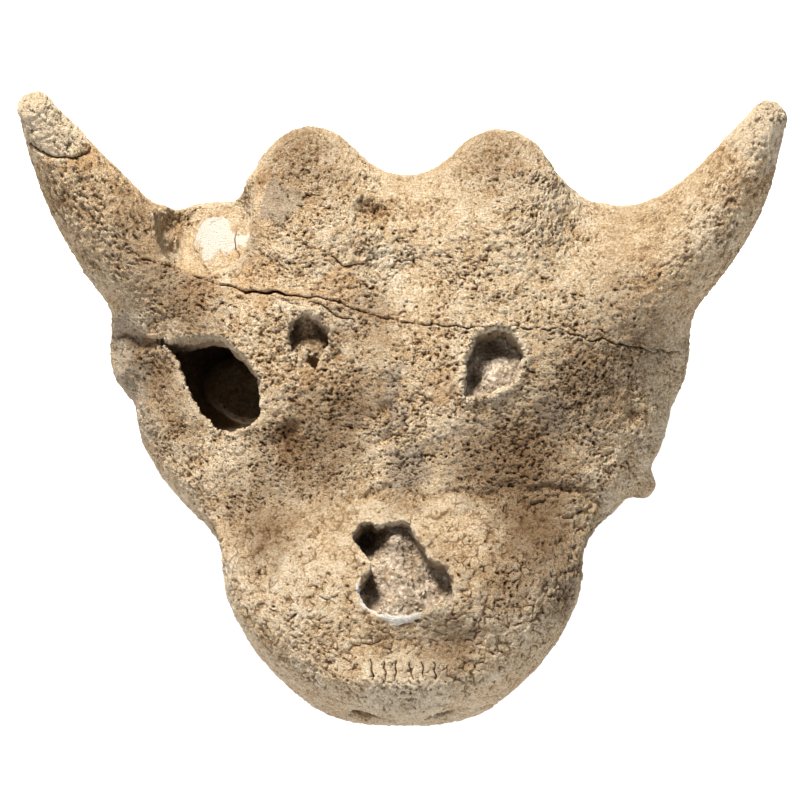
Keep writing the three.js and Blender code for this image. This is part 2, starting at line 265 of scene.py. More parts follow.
# %% [markdown]
# ### Smooth lines
# A horn's axis, the rim of a hole and the profile of the head are drawn through a few points. A cubic that
# passes through them, with the slope at each point taken from its neighbours, keeps them round.

# %% Smooth lines
def smooth_through(places, values):
    """A smooth function through values at rising places, flat outside them."""
    places, values = np.asarray(places, float), np.asarray(values, float)
    steps = np.diff(places)
    slopes = np.diff(values, axis=0) / steps.reshape(-1, *[1] * (values.ndim - 1))
    bends = np.concatenate([slopes[:1], (slopes[1:] + slopes[:-1]) / 2, slopes[-1:]])

    def at(place):
        place = np.clip(place, places[0], places[-1])
        k = np.clip(np.searchsorted(places, place) - 1, 0, len(steps) - 1)
        t = (place - places[k]) / steps[k]
        shape = (*t.shape, *[1] * (values.ndim - 1))
        t, width = t.reshape(shape), steps[k].reshape(shape)
        rise = values[k] * (1 + 2 * t) * (1 - t) ** 2 + values[k + 1] * t**2 * (3 - 2 * t)
        return rise + width * t * (1 - t) * (bends[k] * (1 - t) - bends[k + 1] * t)

    return at


def closed_loop(corners, steps=8):
    """A smooth closed line through corners in plan, as many points."""
    corners = np.asarray(corners, float)
    before, after = np.roll(corners, 1, 0), np.roll(corners, -1, 0)
    t = np.linspace(0, 1, steps, endpoint=False)[:, None, None]
    bend, next_bend = (after - before) / 2, (np.roll(after, -1, 0) - corners) / 2
    rise = corners * (1 + 2 * t) * (1 - t) ** 2 + after * t**2 * (3 - 2 * t)
    points = rise + t * (1 - t) * (bend * (1 - t) - next_bend * t)
    return points.transpose(1, 0, 2).reshape(-1, 2)


def plan_depth(points, loop):
    """How far points lie outside a closed line in plan, seen from above, minus inside it."""
    nearest = np.full(len(points), 1e9, np.float32)
    inside = np.zeros(len(points), bool)
    x, y = points[:, 0], points[:, 1]
    for (ax, ay), (bx, by) in zip(loop.astype(np.float32), np.roll(loop, -1, 0).astype(np.float32)):
        dx, dy = bx - ax, by - ay
        t = np.clip(((x - ax) * dx + (y - ay) * dy) / (dx * dx + dy * dy), 0, 1)
        nearest = np.minimum(nearest, (x - ax - t * dx) ** 2 + (y - ay - t * dy) ** 2)
        if dy != 0:
            inside ^= ((ay > y) != (by > y)) & (x < (y - ay) * (dx / dy) + ax)
    return np.sqrt(nearest) * np.where(inside, -1, 1)


def ragged(points, size=0.22):
    """Points moved a little in plan, so that an edge cut along a smooth line comes out broken."""
    x, y, z = points.T
    moved = points.copy()
    moved[:, 0] += size * (np.sin(1.1 * y + 0.8 * z) + 0.7 * np.sin(2.9 * y - 1.7 * x + 2))
    moved[:, 1] += size * (np.sin(1.3 * x - 0.6 * z + 1) + 0.7 * np.sin(3.1 * x + 1.9 * y))
    return moved


def mounded(points, level, mounds):
    """A level that mounds raise and hollows lower. Rows of the mounds are x, y, radius, rise."""
    height = np.full(len(points), level, np.float32)
    for x, y, radius, rise in mounds:
        far = ((points[:, 0] - x) ** 2 + (points[:, 1] - y) ** 2) / radius**2
        height += rise * np.exp(-np.minimum(far, 30)).astype(np.float32)
    return height


def well(corners, floor, mounds=(), top=150.0):
    """A straight hole in the roof, from its floor up, on a smooth outline in plan."""
    loop = closed_loop(corners, 4)

    def depth(points):
        return np.maximum(plan_depth(ragged(points), loop), mounded(points, floor, mounds) - points[:, 2])

    low, high = loop.min(0) - 1, loop.max(0) + 1
    return Form(depth, [*low, floor - 4], [*high, top])


# %% [markdown]
# ### Horns
# A horn core is a tapering rod along a bent axis. Its depth is the distance to the axis, less the radius
# there. The axis is cut into a few straight lengths to find the nearest place on it, and that place is then
# looked up on the smooth axis, so the rod shows no facets.

# %% Horns
def horn(axis, radii, lengths=12, samples=240):
    axis = np.asarray(axis, float)
    run = np.concatenate([[0], np.cumsum(np.linalg.norm(np.diff(axis, axis=0), axis=1) ** 0.5)])
    dense = smooth_through(run, axis)(np.linspace(0, run[-1], samples * 4))
    travelled = np.concatenate([[0], np.cumsum(np.linalg.norm(np.diff(dense, axis=0), axis=1))])
    shares = np.linspace(0, 1, samples)
    fine = np.stack([np.interp(shares * travelled[-1], travelled, dense[:, i]) for i in range(3)], 1)
    thick = smooth_through(np.linspace(0, 1, len(radii)), radii)(shares)
    knots = fine[np.linspace(0, samples - 1, lengths + 1).astype(int)].astype(np.float32)
    last = 1 - radii[-1] / travelled[-1]  # the tip is round, so its centre lies a radius short of the end

    def place(points):
        """How far along the axis the nearest place lies, from 0 at the root to 1, and the distance to it."""
        nearest = np.full(len(points), 1e9, np.float32)
        share = np.zeros(len(points), np.float32)
        for k, (a, b) in enumerate(zip(knots[:-1], knots[1:])):
            step = b - a
            away = points - a
            t = np.clip(away @ step / (step @ step), 0, 1)
            gap = ((away - t[:, None] * step) ** 2).sum(1)
            closer = gap < nearest
            nearest[closer] = gap[closer]
            share[closer] = (k + t[closer]) / lengths
        share = np.minimum(share, last)
        centre = np.stack([np.interp(share, shares, fine[:, i]) for i in range(3)], 1)
        return share, np.linalg.norm(points - centre, axis=1), points - centre

    def depth(points):
        share, away, _ = place(points)
        return (away - np.interp(share, shares, thick)).astype(np.float32)

    reach = max(radii)
    made = Form(depth, fine.min(0) - reach, fine.max(0) + reach)
    made.place, made.axis = place, fine
    return made


# %% [markdown]
# ### The head
# The head itself is lofted: a row of cross-sections from the muzzle to the back, each with its half width,
# the height of its widest line, and the heights of its roof and base. Between them the sizes run smoothly,
# and each section is a superellipse, fuller than an ellipse.

# %% The head
SECTIONS = np.array([
    # y, half width, widest at, roof, base
    [-96, 24.0, 37, 52.0, -3],  # muzzle
    [-90, 31.5, 38, 57.0, -4],
    [-83, 41.0, 39, 61.0, -4],
    [-74, 50.0, 40, 65.0, -4],
    [-62, 58.0, 41, 68.5, -3],
    [-50, 63.0, 42, 70.0, 0],  # dome of the snout
    [-38, 66.5, 43, 68.5, 5],  # orbits
    [-27, 71.5, 43, 65.5, 11],  # groove behind the snout
    [-14, 83.0, 43, 69.0, 15],
    [0, 91.5, 43, 76.0, 17],
    [14, 95.0, 44, 82.5, 17],  # forehead
    [30, 96.0, 46, 87.5, 15],
    [48, 95.5, 49, 91.5, 14],  # flat of the roof
    [66, 90.0, 52, 95.0, 16],
    [84, 80.0, 54, 97.0, 20],  # back edge
])
ROOF_POWER, BASE_POWER = 2.6, 3.2
MUZZLE_ROUND = {"depth": 9.0, "power": 2.4}
OCCIPUT_ROUND = {"depth": 16.0, "power": 2.8}
WALL = 9.0  # of bone round the jaw-muscle chambers

section_at = smooth_through(SECTIONS[:, 0], SECTIONS[:, 1:])

# Low humps and hollows of the roof: x and y, their reach across and along, and their rise.
ROOF_WAVES = [
    [-55, -38, 10, 9, -2.6],  # groove round the snout's dome
    [-37, -29, 12, 7, -2],
    [42, -30, 13, 8, -2.6],
    [58, -41, 9, 9, -2.4],
    [-22, -52, 17, 15, 1.6],  # dome
    [24, -56, 15, 13, 1],
    [10, -77, 23, 7, -2.6],  # hollow over the lip
    [-10, -90, 26, 6, 1.6],
    [2, -4, 8, 20, 1.8],  # ridge along the forehead
    [-28, -4, 14, 14, -1.8],
    [40, -4, 19, 15, -2.2],
    [-40, 34, 20, 10, 1.4],  # brows before the crack
    [52, 40, 22, 14, 1.6],
]


def swell(points):
    """How far the humps and hollows raise the roof at points."""
    raised = np.zeros(len(points), np.float32)
    for x, y, reach_x, reach_y, rise in ROOF_WAVES:
        far = ((points[:, 0] - x) / reach_x) ** 2 + ((points[:, 1] - y) / reach_y) ** 2
        raised += rise * np.exp(-np.minimum(far, 30)).astype(np.float32)
    return raised


def rounding(inside, depth, power):
    """The share of a section's size near a rounded end."""
    left = np.clip(1 - inside / depth, 0, 1)
    return (1 - left**power) ** (1 / power)


def head_depth(points, margin=0.0):
    front, back = SECTIONS[0, 0] + margin, SECTIONS[-1, 0] - margin
    inner = 0.15  # mm: the sections shrink to nothing at the very ends, so they are read this far inside

    def reach(y):
        y = np.clip(y, front + inner, back - inner)
        half, wide, roof, base = section_at(y).T
        round_off = rounding(y - front, **MUZZLE_ROUND) * rounding(back - y, **OCCIPUT_ROUND)
        up = points[:, 2] > wide
        power = np.where(up, ROOF_POWER, BASE_POWER)
        height = np.where(up, roof - wide, wide - base) - margin
        across = np.abs(points[:, 0]) / ((half - margin) * round_off) + 1e-5
        rise = np.abs(points[:, 2] - wide) / (height * round_off) + 1e-5
        far = (across**power + rise**power) ** (1 / power)
        slope_x = (across / far) ** (power - 1) / ((half - margin) * round_off)
        slope_z = (rise / far) ** (power - 1) / (height * round_off)
        return far, slope_x**2 + slope_z**2

    far, slope = reach(points[:, 1])
    ahead, _ = reach(points[:, 1] + 0.3)
    behind, _ = reach(points[:, 1] - 0.3)
    depth = (far - 1) / np.sqrt(slope + ((ahead - behind) / 0.6) ** 2)
    sideways = (far - 1) / np.sqrt(slope)
    depth = np.where(far > 1, np.maximum(depth, 0.4 * sideways), depth)  # else it would vanish beside an end
    if margin == 0:
        depth -= swell(points) * np.clip((points[:, 2] - 46) / 12, 0, 1)
    ends = np.maximum(front - points[:, 1], points[:, 1] - back)
    return np.maximum(depth, ends).astype(np.float32)


# %% [markdown]
# ### Added bone
# On the head grow the lip over the nostrils, the two knobs and the crest that joins them, a small knob on
# each cheek, the squamosal bones that show past the roof's back edge, and the horns. A wide fillet lets a
# horn flow out of the roof, and a narrow one leaves a crease.

# %% Added bone
NOSE_LIP = bulb([0.5, -83, 45], [21, 16, 11], 2.4)
CREST = bulb([0, 68, 85], [44, 15, 12], 3)
KNOB_LEFT = bulb([33.5, 60, 76], [25, 43, 22], 2.1, pitch=32)
KNOB_RIGHT = bulb([-32, 60, 77], [25, 43.5, 22], 2.1, pitch=32)
CHEEK_KNOB_LEFT = bulb([88.5, 31, 50], [12.5, 17, 17], 2.2)
CHEEK_KNOB_RIGHT = bulb([-92, 32, 50], [11.5, 17, 17], 2.2)
SQUAMOSALS = pair([67, 65, 53], [21, 20.5, 21], 2.2)
SPUR = bulb([84, -12.5, 36], [5.5, 4.5, 9], 2.2, yaw=-30)

HORN_LEFT = horn(
    [[58, 38, 56], [90, 55.5, 76], [110.5, 72.5, 94], [126.5, 95.5, 121]], [25.5, 21.5, 17.2, 12.2, 5.2]
)
HORN_RIGHT = horn(
    [[-62, 40, 58], [-94, 60, 76], [-112.5, 78.5, 96], [-127.5, 99, 121.5]], [25.5, 21, 16.5, 11.5, 5.2]
)

ADDED_BONE = [
    (NOSE_LIP, 6.0),
    (CREST, 8.0),
    (KNOB_LEFT, 13.0),
    (KNOB_RIGHT, 13.0),
    (CHEEK_KNOB_LEFT, 5.0),
    (CHEEK_KNOB_RIGHT, 4.0),
    *[(squamosal, 6.0) for squamosal in SQUAMOSALS],
    (HORN_LEFT, 15.0),
    (HORN_RIGHT, 12.0),
]

# %% [markdown]
# ### Openings and breaks
# The cuts come next: nostrils, orbits and ears, the vaulted palate, the chambers of the jaw muscles with
# their ways in from below and behind, the hollow of the occiput, and the breaks. The chambers are kept
# inside the head's own form drawn in by the wall, so they never break through it. Inside them and at the
# back stand a few bones that are added after the cuts.

# %% Openings and breaks
NOSTRILS = pair([10.5, -99, 26], [8, 19, 7.5], 2.3)
ORBITS = pair([74, -38, 38], [23, 14, 13], 2.2)
EARS = pair([99, 54, 34], [19, 12, 13], 2.2)
PALATE_VAULT = bulb([0, -50, -4], [36, 36, 17], 2.6)
CHOANAE = pair([9, -34, 14], [6, 13, 13], 2.2)
CHAMBERS = pair([61, 8, 42], [32, 30, 40], 4)
FOSSAE = pair([52, -5, 12], [24, 16, 26], 3)
TEMPORAL_OPENINGS = pair([44, 64, 65], [16, 38, 10], 2.8)
OCCIPUT_HOLLOW = bulb([0, 97, 43], [67, 35, 39], 2.4)
ROOF_BREAK = bulb([-69, 67.5, 92], [17, 20, 27], 2.4)
HORN_BITE = bulb([-84.5, 83.5, 92], [9, 16, 16], 2.2, yaw=35)
FORAMEN = bulb([0, 62, 50], [6.5, 16, 7.5])

CONDYLE = bulb([0, 66, 35], [9.5, 11, 7], 2.2)
NUCHAL_BLADE = bulb([0, 64, 70], [4, 18, 18], 2.6)
PAROCCIPITALS = pair([38, 62, 48], [30, 9, 8.5], 2.4)
QUADRATES = pair([62, 40, 8], [15, 10, 16], 2.4)
OTIC_BARS = pair([43, 24, 34], [29, 14, 13], 2)
OTIC_DOMES = [bulb([58, 23, 39], [11.5, 11.5, 11]), bulb([-55.5, 19.5, 38.5], [9.5, 10, 10.5])]
SHELF = bulb([-61, 63, 66], [13, 17, 9], 2.6)  # of spongy bone under the broken corner

TEMPLE_WINDOW = [
    [-84.0, 26.8], [-74.6, 26.3], [-67.5, 26.7], [-61.9, 25.7], [-58.4, 22.7], [-53.5, 18.0], [-50.0, 13.1],
    [-49.0, 6.7], [-49.4, 0.7], [-52.9, -2.2], [-56.4, -3.3], [-60.9, -3.9], [-65.5, -2.1], [-71.1, 4.8],
    [-75.6, 13.0], [-78.0, 20.1], [-81.4, 24.5],
]
RIGHT_PIT = [
    [-38.2, 29.7], [-34.8, 32.7], [-30.3, 31.5], [-25.8, 27.1], [-25.8, 22.8], [-28.1, 19.3], [-30.3, 15.5],
    [-34.8, 17.8], [-38.2, 21.2], [-39.3, 25.5],
]
LEFT_PIT = [
    [25.4, 25.8], [29.9, 27.8], [34.1, 28.3], [37.5, 26.7], [41.7, 20.3], [40.3, 15.6], [38.6, 11.1],
    [35.4, 9.7], [30.6, 7.1], [25.8, 6.7], [22.0, 6.0], [21.0, 9.5], [21.3, 13.9], [21.6, 18.2], [24.1, 22.5],
]
SNOUT_HOLE = [
    [-16.9, -39.9], [-13.9, -36.7], [-11.0, -36.0], [-8.9, -37.6], [-4.5, -36.4], [1.5, -36.2], [3.7, -40.0],
    [6.6, -44.9], [10.0, -50.1], [14.7, -52.1], [17.0, -58.6], [16.0, -63.6], [10.9, -65.6], [4.9, -67.7],
    [-3.1, -68.5], [-10.4, -67.2], [-15.0, -62.6], [-14.7, -58.6], [-12.1, -54.3], [-11.1, -51.4],
    [-13.9, -47.5], [-16.5, -43.1],
]
PIT_FLOOR = [[-33.0, 22.5, 6.5, 3.0], [-33.5, 31.5, 2.4, 5.0], [-28.0, 25.0, 2.0, 1.0], [-31.0, 17.0, 2.2, -4.0]]
WINDOW_WELL = well(TEMPLE_WINDOW, 42)
RIGHT_PIT_WELL = well(RIGHT_PIT, 79, PIT_FLOOR)
LEFT_PIT_WELL = well(LEFT_PIT, 70)
SNOUT_WELL = well(SNOUT_HOLE, 50)


def skull_depth(points):
    """The depth of the whole skull, before time has worn it."""
    points = np.ascontiguousarray(points, np.float32)
    depth = head_depth(points)
    for form, blend in ADDED_BONE:
        joined(depth, points, form, blend)
    inside = soft_join(-head_depth(points, WALL), np.float32(60.0), 1.0)
    for form in CHAMBERS:
        near = form.near(points, 8.0)
        hollow = -soft_join(-form.depth(points[near]), inside[near], 3.0)
        depth[near] = soft_cut(depth[near], hollow, 3.0)
    cuts = [*FOSSAE, *TEMPORAL_OPENINGS, OCCIPUT_HOLLOW, PALATE_VAULT, *CHOANAE, *NOSTRILS, *ORBITS, *EARS]
    for form in cuts:
        cut_away(depth, points, form, 3.5)
    for form in (ROOF_BREAK, HORN_BITE):
        cut_away(depth, points, form, 1.6)
    for form in (CONDYLE, NUCHAL_BLADE, *PAROCCIPITALS, *QUADRATES, *OTIC_BARS, *OTIC_DOMES, SPUR, SHELF):
        joined(depth, points, form, 3.5)
    cut_away(depth, points, FORAMEN, 2.0)
    for form in (WINDOW_WELL, RIGHT_PIT_WELL, LEFT_PIT_WELL, SNOUT_WELL):
        cut_away(depth, points, form, 0.8)
    return soft_cut(depth, points[:, 2], 1.0)


# %% [markdown]
# ## From depth to mesh
# The surface lies where the depth is nil. A grid of cells round the skull is filled with depths, first
# coarsely and then finer only near the surface, and OpenVDB, which comes with Blender, draws quads through
# the cells that the surface crosses. Each point is then slid along the slope of the depth onto the true
# surface, so the grid leaves no steps.

# %% Grid, quads and projection
def slope_of(depth_of, points, step=0.25):
    """The depth and its gradient at points."""
    here = depth_of(points)
    sides = []
    for axis in range(3):
        moved = points.copy()
        moved[:, axis] += step
        sides.append((depth_of(moved) - here) / step)
    return here, np.stack(sides, 1)


def settle(depth_of, points, rounds=1):
    """Slides points along the gradient onto the surface, by less than 2 mm a round."""
    for _ in range(rounds):
        here, slope = slope_of(depth_of, points)
        steep = np.maximum((slope**2).sum(1), 0.25)
        points = points - slope * np.clip(here / steep, -2.0, 2.0)[:, None]
    return points


def surface_quads(depth_of, low, high, cell):
    """Quads through the cells of a grid where the depth changes sign."""
    low = np.asarray(low, np.float32)
    coarse = 4
    count = np.ceil((np.asarray(high) - low) / (cell * coarse)).astype(int)
    places = np.stack(np.meshgrid(*[np.arange(n) for n in count], indexing="ij"), -1).reshape(-1, 3)
    middle = low + (places.astype(np.float32) + 0.5) * cell * coarse
    rough = depth_of(middle).reshape(count)
    field = np.repeat(np.repeat(np.repeat(rough, coarse, 0), coarse, 1), coarse, 2)
    close = np.abs(field) < cell * coarse * 1.6
    where = np.argwhere(close)
    field[close] = depth_of(low + (where.astype(np.float32) + 0.5) * cell)
    grid = openvdb.FloatGrid(float(field.max()))
    grid.copyFromArray(np.ascontiguousarray(field))
    points, quads = grid.convertToQuads(0.0)
    points = low + (points.astype(np.float32) + 0.5) * cell
    return settle(depth_of, points, 2), quads.astype(np.int64)


def refined(points, quads, chosen):
    """Splits the chosen quads in four. A neighbour takes in the new points on its edges, so nothing gaps."""
    following = np.roll(quads, -1, 1)
    edges = np.minimum(quads, following) * len(points) + np.maximum(quads, following)
    split_edges = np.unique(edges[chosen])
    ends = np.stack([split_edges // len(points), split_edges % len(points)], 1)
    centres = points[quads[chosen]].mean(1)
    first_mid, first_centre = len(points), len(points) + len(ends)
    whole = np.concatenate([points, points[ends].mean(1), centres])
    q, mid = quads[chosen], first_mid + np.searchsorted(split_edges, edges[chosen])
    centre = first_centre + np.arange(len(q))
    fours = [np.stack([q[:, k], mid[:, k], centre, mid[:, k - 1]], 1) for k in range(4)]
    other, other_edges = quads[~chosen], edges[~chosen]
    slot = np.minimum(np.searchsorted(split_edges, other_edges), len(split_edges) - 1)
    shared = split_edges[slot] == other_edges
    plain = other[~shared.any(1)]
    mixed = np.stack([other, np.where(shared, first_mid + slot, -1)], 2)[shared.any(1)].reshape(-1, 8)
    many = [row[row >= 0] for row in mixed]
    return whole, [*np.concatenate([*fours, plain])], many


def is_inner(points):
    """True well inside the head's own form: in the chambers, but not in the holes that hold sand."""
    inner = head_depth(points) < -5.5
    for form in (RIGHT_PIT_WELL, LEFT_PIT_WELL, SNOUT_WELL):
        near = form.near(points, 3.0)
        inner[near] = False
    return inner | (points[:, 2] < 1.0)


# %% The skull's smooth surface
CELL = 1.04
SKULL_LOW, SKULL_HIGH = [-142, -106, -6], [142, 112, 132]
points, quads = surface_quads(skull_depth, SKULL_LOW, SKULL_HIGH, CELL)
print(len(quads), "quads of about", CELL, "mm")

# %% [markdown]
# ### Finer where it shows
# Pores of a millimetre need points half a millimetre apart, but the walls of the chambers and the palate do
# not. So only the quads of the outer surface are split in four. A quad beside them takes in the new points on
# its edges and becomes a five- to eight-sided face, which keeps the surface closed.

# %% Split the outer quads
shown = ~is_inner(points[quads].mean(1))
rough_count = len(points)
points, quad_rows, loose_faces = refined(points, quads, shown)
points[rough_count:] = settle(skull_depth, points[rough_count:])
faces = quad_rows + loose_faces
print(len(points), "points and", len(quad_rows[0]) + len(loose_faces), "faces")

# %% [markdown]
# ## What befell the skull
# Time has marked this one skull in its own way: the crack along which it broke, the stains beside it, the
# wrinkled groove between snout and forehead. These marks are named here with their places, and each gives
# two things to the points near it: how deep it cuts, and how it colours.
#
# Lines are drawn in plan, with a width at each of their points. A bit of wobble makes them jagged.

# %% Lines, spots and wobble
def wobble(points, size, seed):
    """Smooth noise with waves of about a size in mm, as a vector of about unit length at each point."""
    rng = np.random.default_rng(seed)
    total = np.zeros((len(points), 3), np.float32)
    for _ in range(10):
        wave = rng.normal(size=3)
        wave *= 2 * math.pi / (size * rng.uniform(0.6, 1.8) * np.linalg.norm(wave))
        phase = np.sin(points @ wave.astype(np.float32) + np.float32(rng.uniform(0, 6.3)))
        total += phase[:, None] * rng.normal(size=3).astype(np.float32) * np.float32(0.35)
    return total


def line_reach(points, line):
    """For points in plan, the distance to a line over its width there, and the side, 1 or -1, that they are on.

    Rows of the line are x, y, width. Past its ends there is only one side.
    """
    line = np.asarray(line, np.float32)
    widest = line[:, 2].max() * 6 + 4
    low, high = line[:, :2].min(0) - widest, line[:, :2].max(0) + widest
    near = np.flatnonzero(((points[:, :2] > low) & (points[:, :2] < high)).all(1))
    reach, side = np.full(len(points), 1e3, np.float32), np.ones(len(points), np.float32)
    best = np.full(len(near), 1e9, np.float32)
    width, turn = np.ones(len(near), np.float32), np.ones(len(near), np.float32)
    plan = points[near, :2]
    last = len(line) - 2
    for k, (a, b) in enumerate(zip(line[:-1], line[1:])):
        step = b[:2] - a[:2]
        away = plan - a[:2]
        t = away @ step / (step @ step)
        past_end = ((t < 0) & (k == 0)) | ((t > 1) & (k == last))
        t = np.clip(t, 0, 1)
        gap = ((away - t[:, None] * step) ** 2).sum(1)
        closer = gap < best
        right = step[0] * away[:, 1] < step[1] * away[:, 0]
        best[closer] = gap[closer]
        width[closer] = (a[2] + (b[2] - a[2]) * t)[closer]
        turn[closer] = np.where(right & ~past_end, -1, 1)[closer]
    reach[near], side[near] = np.sqrt(best) / width, turn
    return reach, side


def spot_share(points, at, radius, soft=0.5):
    """1 within a ball, and fading to 0 at its radius."""
    near = np.flatnonzero((np.abs(points - np.array(at, np.float32)) < radius).all(1))
    share = np.zeros(len(points), np.float32)
    far = np.linalg.norm(points[near] - np.array(at, np.float32), axis=1) / radius
    share[near] = np.clip((1 - far) / soft, 0, 1)
    return share * share * (3 - 2 * share)


def fade(value, full, none):
    """1 at one value and 0 at the other, smoothly."""
    share = np.clip((value - none) / (full - none), 0, 1)
    return share * share * (3 - 2 * share)


# %% [markdown]
# ### The crack and the breaks
# One long crack crosses the roof from the broken right rear to the left cheek. It gapes where flakes have
# come off beside it, its lips stand a little proud, and iron has stained it orange. A second crack rings the
# right horn, whose tip has been glued on again.

# %% Cracks
FRACTURE = [
    [-90, 51.5, 0.18], [-82.3, 50.1, 0.21], [-73.4, 47.6, 0.21], [-64.8, 44.0, 0.27], [-58.0, 42.3, 0.36],
    [-54.5, 40.6, 0.48], [-47.5, 39.8, 0.45], [-41.0, 38.6, 0.39], [-37.5, 38.0, 0.24], [-32.1, 37.1, 0.21],
    [-25.1, 36.5, 0.24], [-16.6, 34.0, 0.27], [-8.0, 31.3, 0.27], [0.7, 29.9, 0.24], [9.3, 28.9, 0.21],
    [21.3, 28.2, 0.21], [33.6, 28.6, 0.18], [43.7, 27.7, 0.21], [54.1, 27.7, 0.18], [64.4, 24.5, 0.21],
    [71.5, 25.1, 0.24], [78.4, 23.9, 0.24], [87.6, 24.3, 0.21], [97.0, 26.5, 0.18],
]
SIDE_CRACKS = [
    [[-24.6, 49.6, 0.3], [-20.8, 47.8, 0.45], [-17.6, 47.8, 0.4], [-13.8, 49.2, 0.25]],
    [[-58.5, 70.5, 0.35], [-59.0, 64.0, 0.45], [-57.5, 58.0, 0.35]],
    [[-31.5, 36.0, 0.25], [-24.0, 32.0, 0.35], [-17.0, 30.0, 0.25]],
]
FAINT_CRACKS = [
    [[-54.6, 40.4, 0.5], [-56.6, 32.9, 0.45], [-57.0, 25.3, 0.5]],
    [[9.0, 70.5, 0.3], [10.4, 63.8, 0.5], [9.2, 56.0, 0.35]],
    [[13.3, 68.5, 0.25], [12.4, 62.0, 0.35], [13.1, 55.5, 0.3]],
]
# where the horn's root overhangs the window and the cheek
NOTCH = [[-100.0, 33.0, 1.1], [-95.0, 30.0, 1.9], [-89.5, 27.5, 1.6], [-84.0, 26.5, 1.0]]
LIP_SCAR = [[-15.2, -60.0, 1.3], [-12.5, -64.5, 1.5], [-8.0, -68.3, 1.7], [-2.0, -69.8, 1.6], [5.5, -68.6, 1.1]]
GROOVES = [
    # the groove between snout and forehead, in which lie short dark crescents
    [[-20, -26.4, 0.9], [-7.6, -25.7, 1.3], [5.9, -25.9, 1.4], [19.7, -24.4, 1.1], [31.0, -24.6, 1.6],
     [38.8, -23.6, 1.9], [47.4, -22.2, 1.5], [58.0, -23.1, 1.1], [68.6, -23.7, 1.2]],
    [[-17, -29.5, 0.6], [-11, -25.0, 0.9], [-5, -22.5, 0.7]],
    [[44.0, -30.5, 0.5], [52.4, -26.2, 0.7], [60.0, -23.5, 0.6]],
    [[49.0, -33.0, 0.5], [57.5, -30.0, 0.7], [66.0, -27.0, 0.6]],
    [[9.5, -35.0, 0.7], [14.5, -32.8, 0.9], [23.0, -32.1, 0.9], [31.5, -35.5, 0.8]],
    # the crescent beside the snout's dome
    [[-56.5, -40.5, 0.6], [-54.0, -45.2, 0.9], [-55.0, -50.5, 0.5]],
]
LIP_GROOVES = [[[x, -83.2, 0.3], [x + lean, -86.2, 0.55], [x + lean * 2, -89.0, 0.3]]
               for x, lean in ((-10.8, 0.2), (-6.6, 0.4), (-2.5, 0.1), (2.4, 0.4), (6.5, 0.2), (10.6, 0.4))]

crooked = points + wobble(points, 6.0, 1) * 0.4 + wobble(points, 1.6, 2) * 0.09
on_roof = points[:, 2] > 40
carve = np.zeros(len(points), np.float32)
rust = np.zeros(len(points), np.float32)
crack_reach = np.full(len(points), 9.0, np.float32)
crack_side = np.ones(len(points), np.float32)


def groove(line, depth, lip=0.0, warped=crooked, black=0.0):
    """Cuts a line into the surface, raises its lips, and may ink it as a crack of a share of its width."""
    reach, side = line_reach(warped, line)
    if np.any(black):
        inked = reach / black
        closer = (inked < crack_reach) & on_roof
        crack_reach[closer], crack_side[closer] = inked[closer], side[closer]
    cut = depth * np.exp(-np.minimum(reach, 30) ** 2)
    return (cut - lip * np.exp(-((np.minimum(reach, 30) - 3.0) ** 2) / 2.5)) * on_roof, reach


gaping = np.maximum(fade(np.abs(points[:, 0] + 47.5), 9.0, 15.0), 0.6 * fade(np.abs(points[:, 0] - 75), 10.0, 14.0))
cut, reach = groove(FRACTURE, 1.3, 0.25, black=0.4 + 0.45 * gaping)
carve += cut
gape = fade(np.abs(points[:, 0] + 47.5), 5.5, 9.0)
carve += 2.5 * gape * np.exp(-np.minimum(reach, 30) ** 4) * on_roof
patchy = wobble(points, 7.0, 3)[:, 0]
rust = np.maximum(rust, 0.9 * fade(reach + patchy * 2.0, 1.5, 9.0) * fade(points[:, 0], -20, 30) * on_roof)
for line in SIDE_CRACKS:
    cut, reach = groove(line, 0.9, 0.1, black=0.7)
    carve += cut
    rust = np.maximum(rust, 0.6 * fade(reach + patchy, 1.0, 4.0) * on_roof)
for line in FAINT_CRACKS:
    carve += groove(line, 0.6, 0.1)[0]
strayed = crooked + wobble(points, 11.0, 6) * 1.5
for line in GROOVES:
    carve += groove(line, 0.8, 0.2, strayed)[0]
for line in LIP_GROOVES:
    carve += groove(line, 0.7, 0.2, crooked, black=0.8)[0]
carve += groove(NOTCH, 2.6)[0]
scar = fade(line_reach(crooked, LIP_SCAR)[0], 0.75, 1.1) * on_roof

TIP_CRACK = {"at": [-115.5, 84.5, 103], "along": [-0.42, 0.45, 0.79]}
TIP_STAIN = {"at": [-115.8, 81.1, 112.6], "along": [0.178, 0.547, 0.818]}
along = np.array(TIP_STAIN["along"]) / np.linalg.norm(TIP_STAIN["along"])
from_tip_crack = (crooked - np.array(TIP_STAIN["at"])) @ along
on_tip = points[:, 0] < -100
carve += 0.9 * np.exp(-((from_tip_crack / 0.5) ** 2)) * on_tip
closer = (np.abs(from_tip_crack) / 0.4 < crack_reach) & on_tip
crack_reach[closer], crack_side[closer] = (np.abs(from_tip_crack) / 0.4)[closer], np.sign(from_tip_crack)[closer]
rust = np.maximum(rust, fade(np.abs(from_tip_crack + 1.6) + patchy * 1.2, 0.5, 4.0) * on_tip)
print("cracks cut", (carve > 0.3).sum(), "points")
